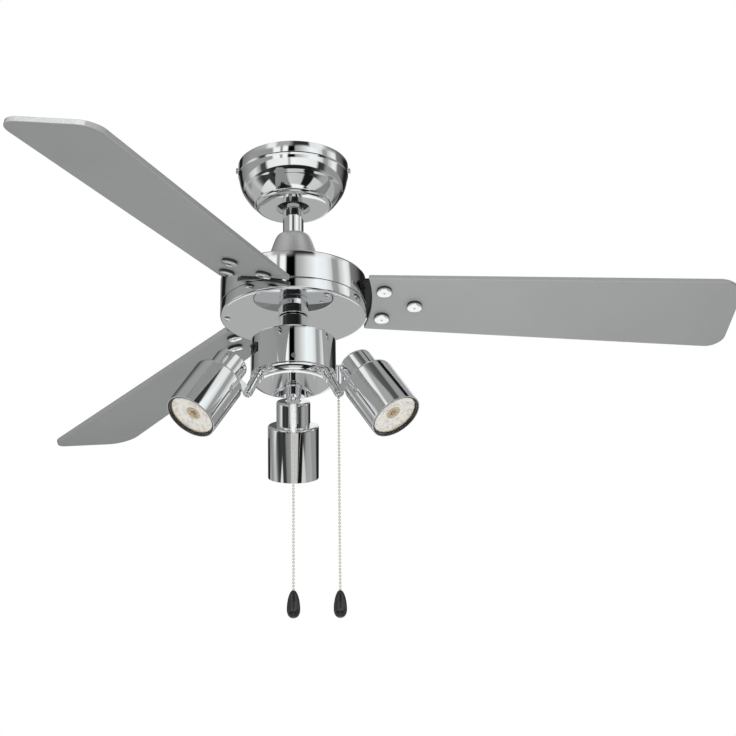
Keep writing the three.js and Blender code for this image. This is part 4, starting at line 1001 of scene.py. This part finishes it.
# rows of panels and flags from the ground up: (lowest sine of elevation, [(azimuth, level), ...])
ROWS = [
    (-1.0, [(-180, 0.42), (180, 0.42)]),
    (-0.985, [
        (-180, 0.98), (-158, 0.95), (-146, 0.4), (-100, 0.35), (-80, 0.02), (-50, 0.02),
        (-42, 0.95), (42, 0.95), (50, 0.02), (70, 0.02), (90, 0.35), (146, 0.4), (158, 0.95),
        (180, 0.98)]),
    (-0.87, [
        (-180, 0.98), (-155, 0.95), (-143, 0.42), (-125, 0.4), (-113, 0.05), (-106, 0.7),
        (-66, 0.78), (-61, 0.03), (-47, 0.05), (-41, 0.22), (-18, 0.3), (-13, 0.6), (26, 0.55),
        (30, 0.01), (52, 0.01), (56, 0.65), (84, 0.6), (92, 0.1), (106, 0.12), (120, 0.42),
        (143, 0.42), (155, 0.95), (180, 0.98)]),
    (-0.54, [
        (-180, 0.42), (-110, 0.42), (-98, 0.55), (-86, 0.1), (-78, 0.03), (-62, 0.05),
        (-48, 0.02), (38, 0.01), (58, 0.06), (70, 0.34), (84, 0.38), (110, 0.42), (180, 0.42)]),
    (-0.2, [
        (-180, 0.2), (-162, 0.1), (-148, 0.06), (-140, 0.28), (-130, 0.5), (-119, 0.26),
        (-108, 0.35), (-98, 0.66), (-86, 0.75), (-76, 0.4), (-70, 0.06), (-60, 0.06),
        (-54, 0.85), (-12, 0.9), (-8, 0.3), (-4, 0.95), (48, 0.85), (54, 0.03), (66, 0.05),
        (74, 0.3), (120, 0.3), (136, 0.24), (144, 0.1), (154, 0.25), (164, 0.55), (168, 1.0),
        (178, 1.0), (180, 0.6)]),
    (0.11, [
        (-180, 0.2), (-158, 0.22), (-153, 0.01), (-136, 0.012), (-131, 0.2), (-100, 0.32),
        (-44, 0.3), (-39, 0.95), (-27, 0.95), (-25, 0.3), (-22, 0.3), (-20, 0.98), (-13, 0.95),
        (-10, 0.002), (2, 0.0), (5, 0.36), (14, 0.5), (24, 0.72), (36, (0.92, 0.97, 0.98)),
        (52, (0.85, 0.9, 0.92)), (62, 0.66), (65, 0.33), (74, 0.33), (78, 0.56),
        (90, (0.88, 0.9, 0.87)), (98, 0.8), (104, 0.2), (118, 0.14), (134, 0.015), (152, 0.015),
        (160, 0.06), (180, 0.12)]),
    (0.5, [
        (-180, 0.1), (-150, 0.08), (-130, 0.18), (-100, 0.3), (-62, 0.45), (-52, 0.9),
        (-38, 0.85), (-32, 0.38), (-10, 0.38), (2, 0.03), (32, 0.03), (38, 0.8), (62, 0.85),
        (80, 0.3), (120, 0.1), (140, 0.5), (155, 0.85), (180, 0.9)]),
    (0.78, [
        (-180, 0.18), (-150, 0.18), (-130, 0.25), (-110, 0.33), (-45, 0.33), (-25, 0.22),
        (-8, 0.1), (20, 0.08), (34, 0.33), (75, 0.33), (88, 0.01), (128, 0.0), (140, 0.25),
        (155, 0.8), (180, 0.5)]),
    (0.95, [(-180, 0.35), (180, 0.35)]),
]
EDGE_SOFT, DIFFUSE_GREY, PURE_WHITE = 0.02, (0.9, 0.9, 0.9, 1), (1.0, 1.0, 1.0, 1)
full = sky.row(ROWS[0][1])
for level, stops in ROWS[1:]:
    full = sky.mix(sky.step(sky.z, level - EDGE_SOFT, level + EDGE_SOFT), full, sky.row(stops))
path = sky.add("ShaderNodeLightPath")
soft = sky.mix(path.outputs["Is Diffuse Ray"], full, DIFFUSE_GREY)
clear = sky.mix(path.outputs["Is Transmission Ray"], soft, PURE_WHITE)
seen = sky.mix(path.outputs["Is Camera Ray"], clear, PURE_WHITE)
sky.link(seen, sky.bg.inputs["Color"])
sky.bg.inputs["Strength"].default_value = 1.0


def area(name, at, size, power):
    """A soft light aimed at the drum, unseen in the metal and through the lenses."""
    d = bpy.data.lights.new(name, "AREA")
    d.shape = "RECTANGLE"
    d.size, d.size_y = size
    d.energy = power
    o = bpy.data.objects.new(name, d)
    o.location = at
    o.rotation_euler = (Vector((0, 0, -0.2)) - Vector(at)).to_track_quat("-Z", "Y").to_euler()
    o.visible_glossy = False
    o.visible_transmission = False
    scene.collection.objects.link(o)


area("key", (-2.2, -2.6, 1.2), (1.2, 1.2), 30)
area("front", (-0.05, -2.3, -1.3), (1.2, 0.9), 60)
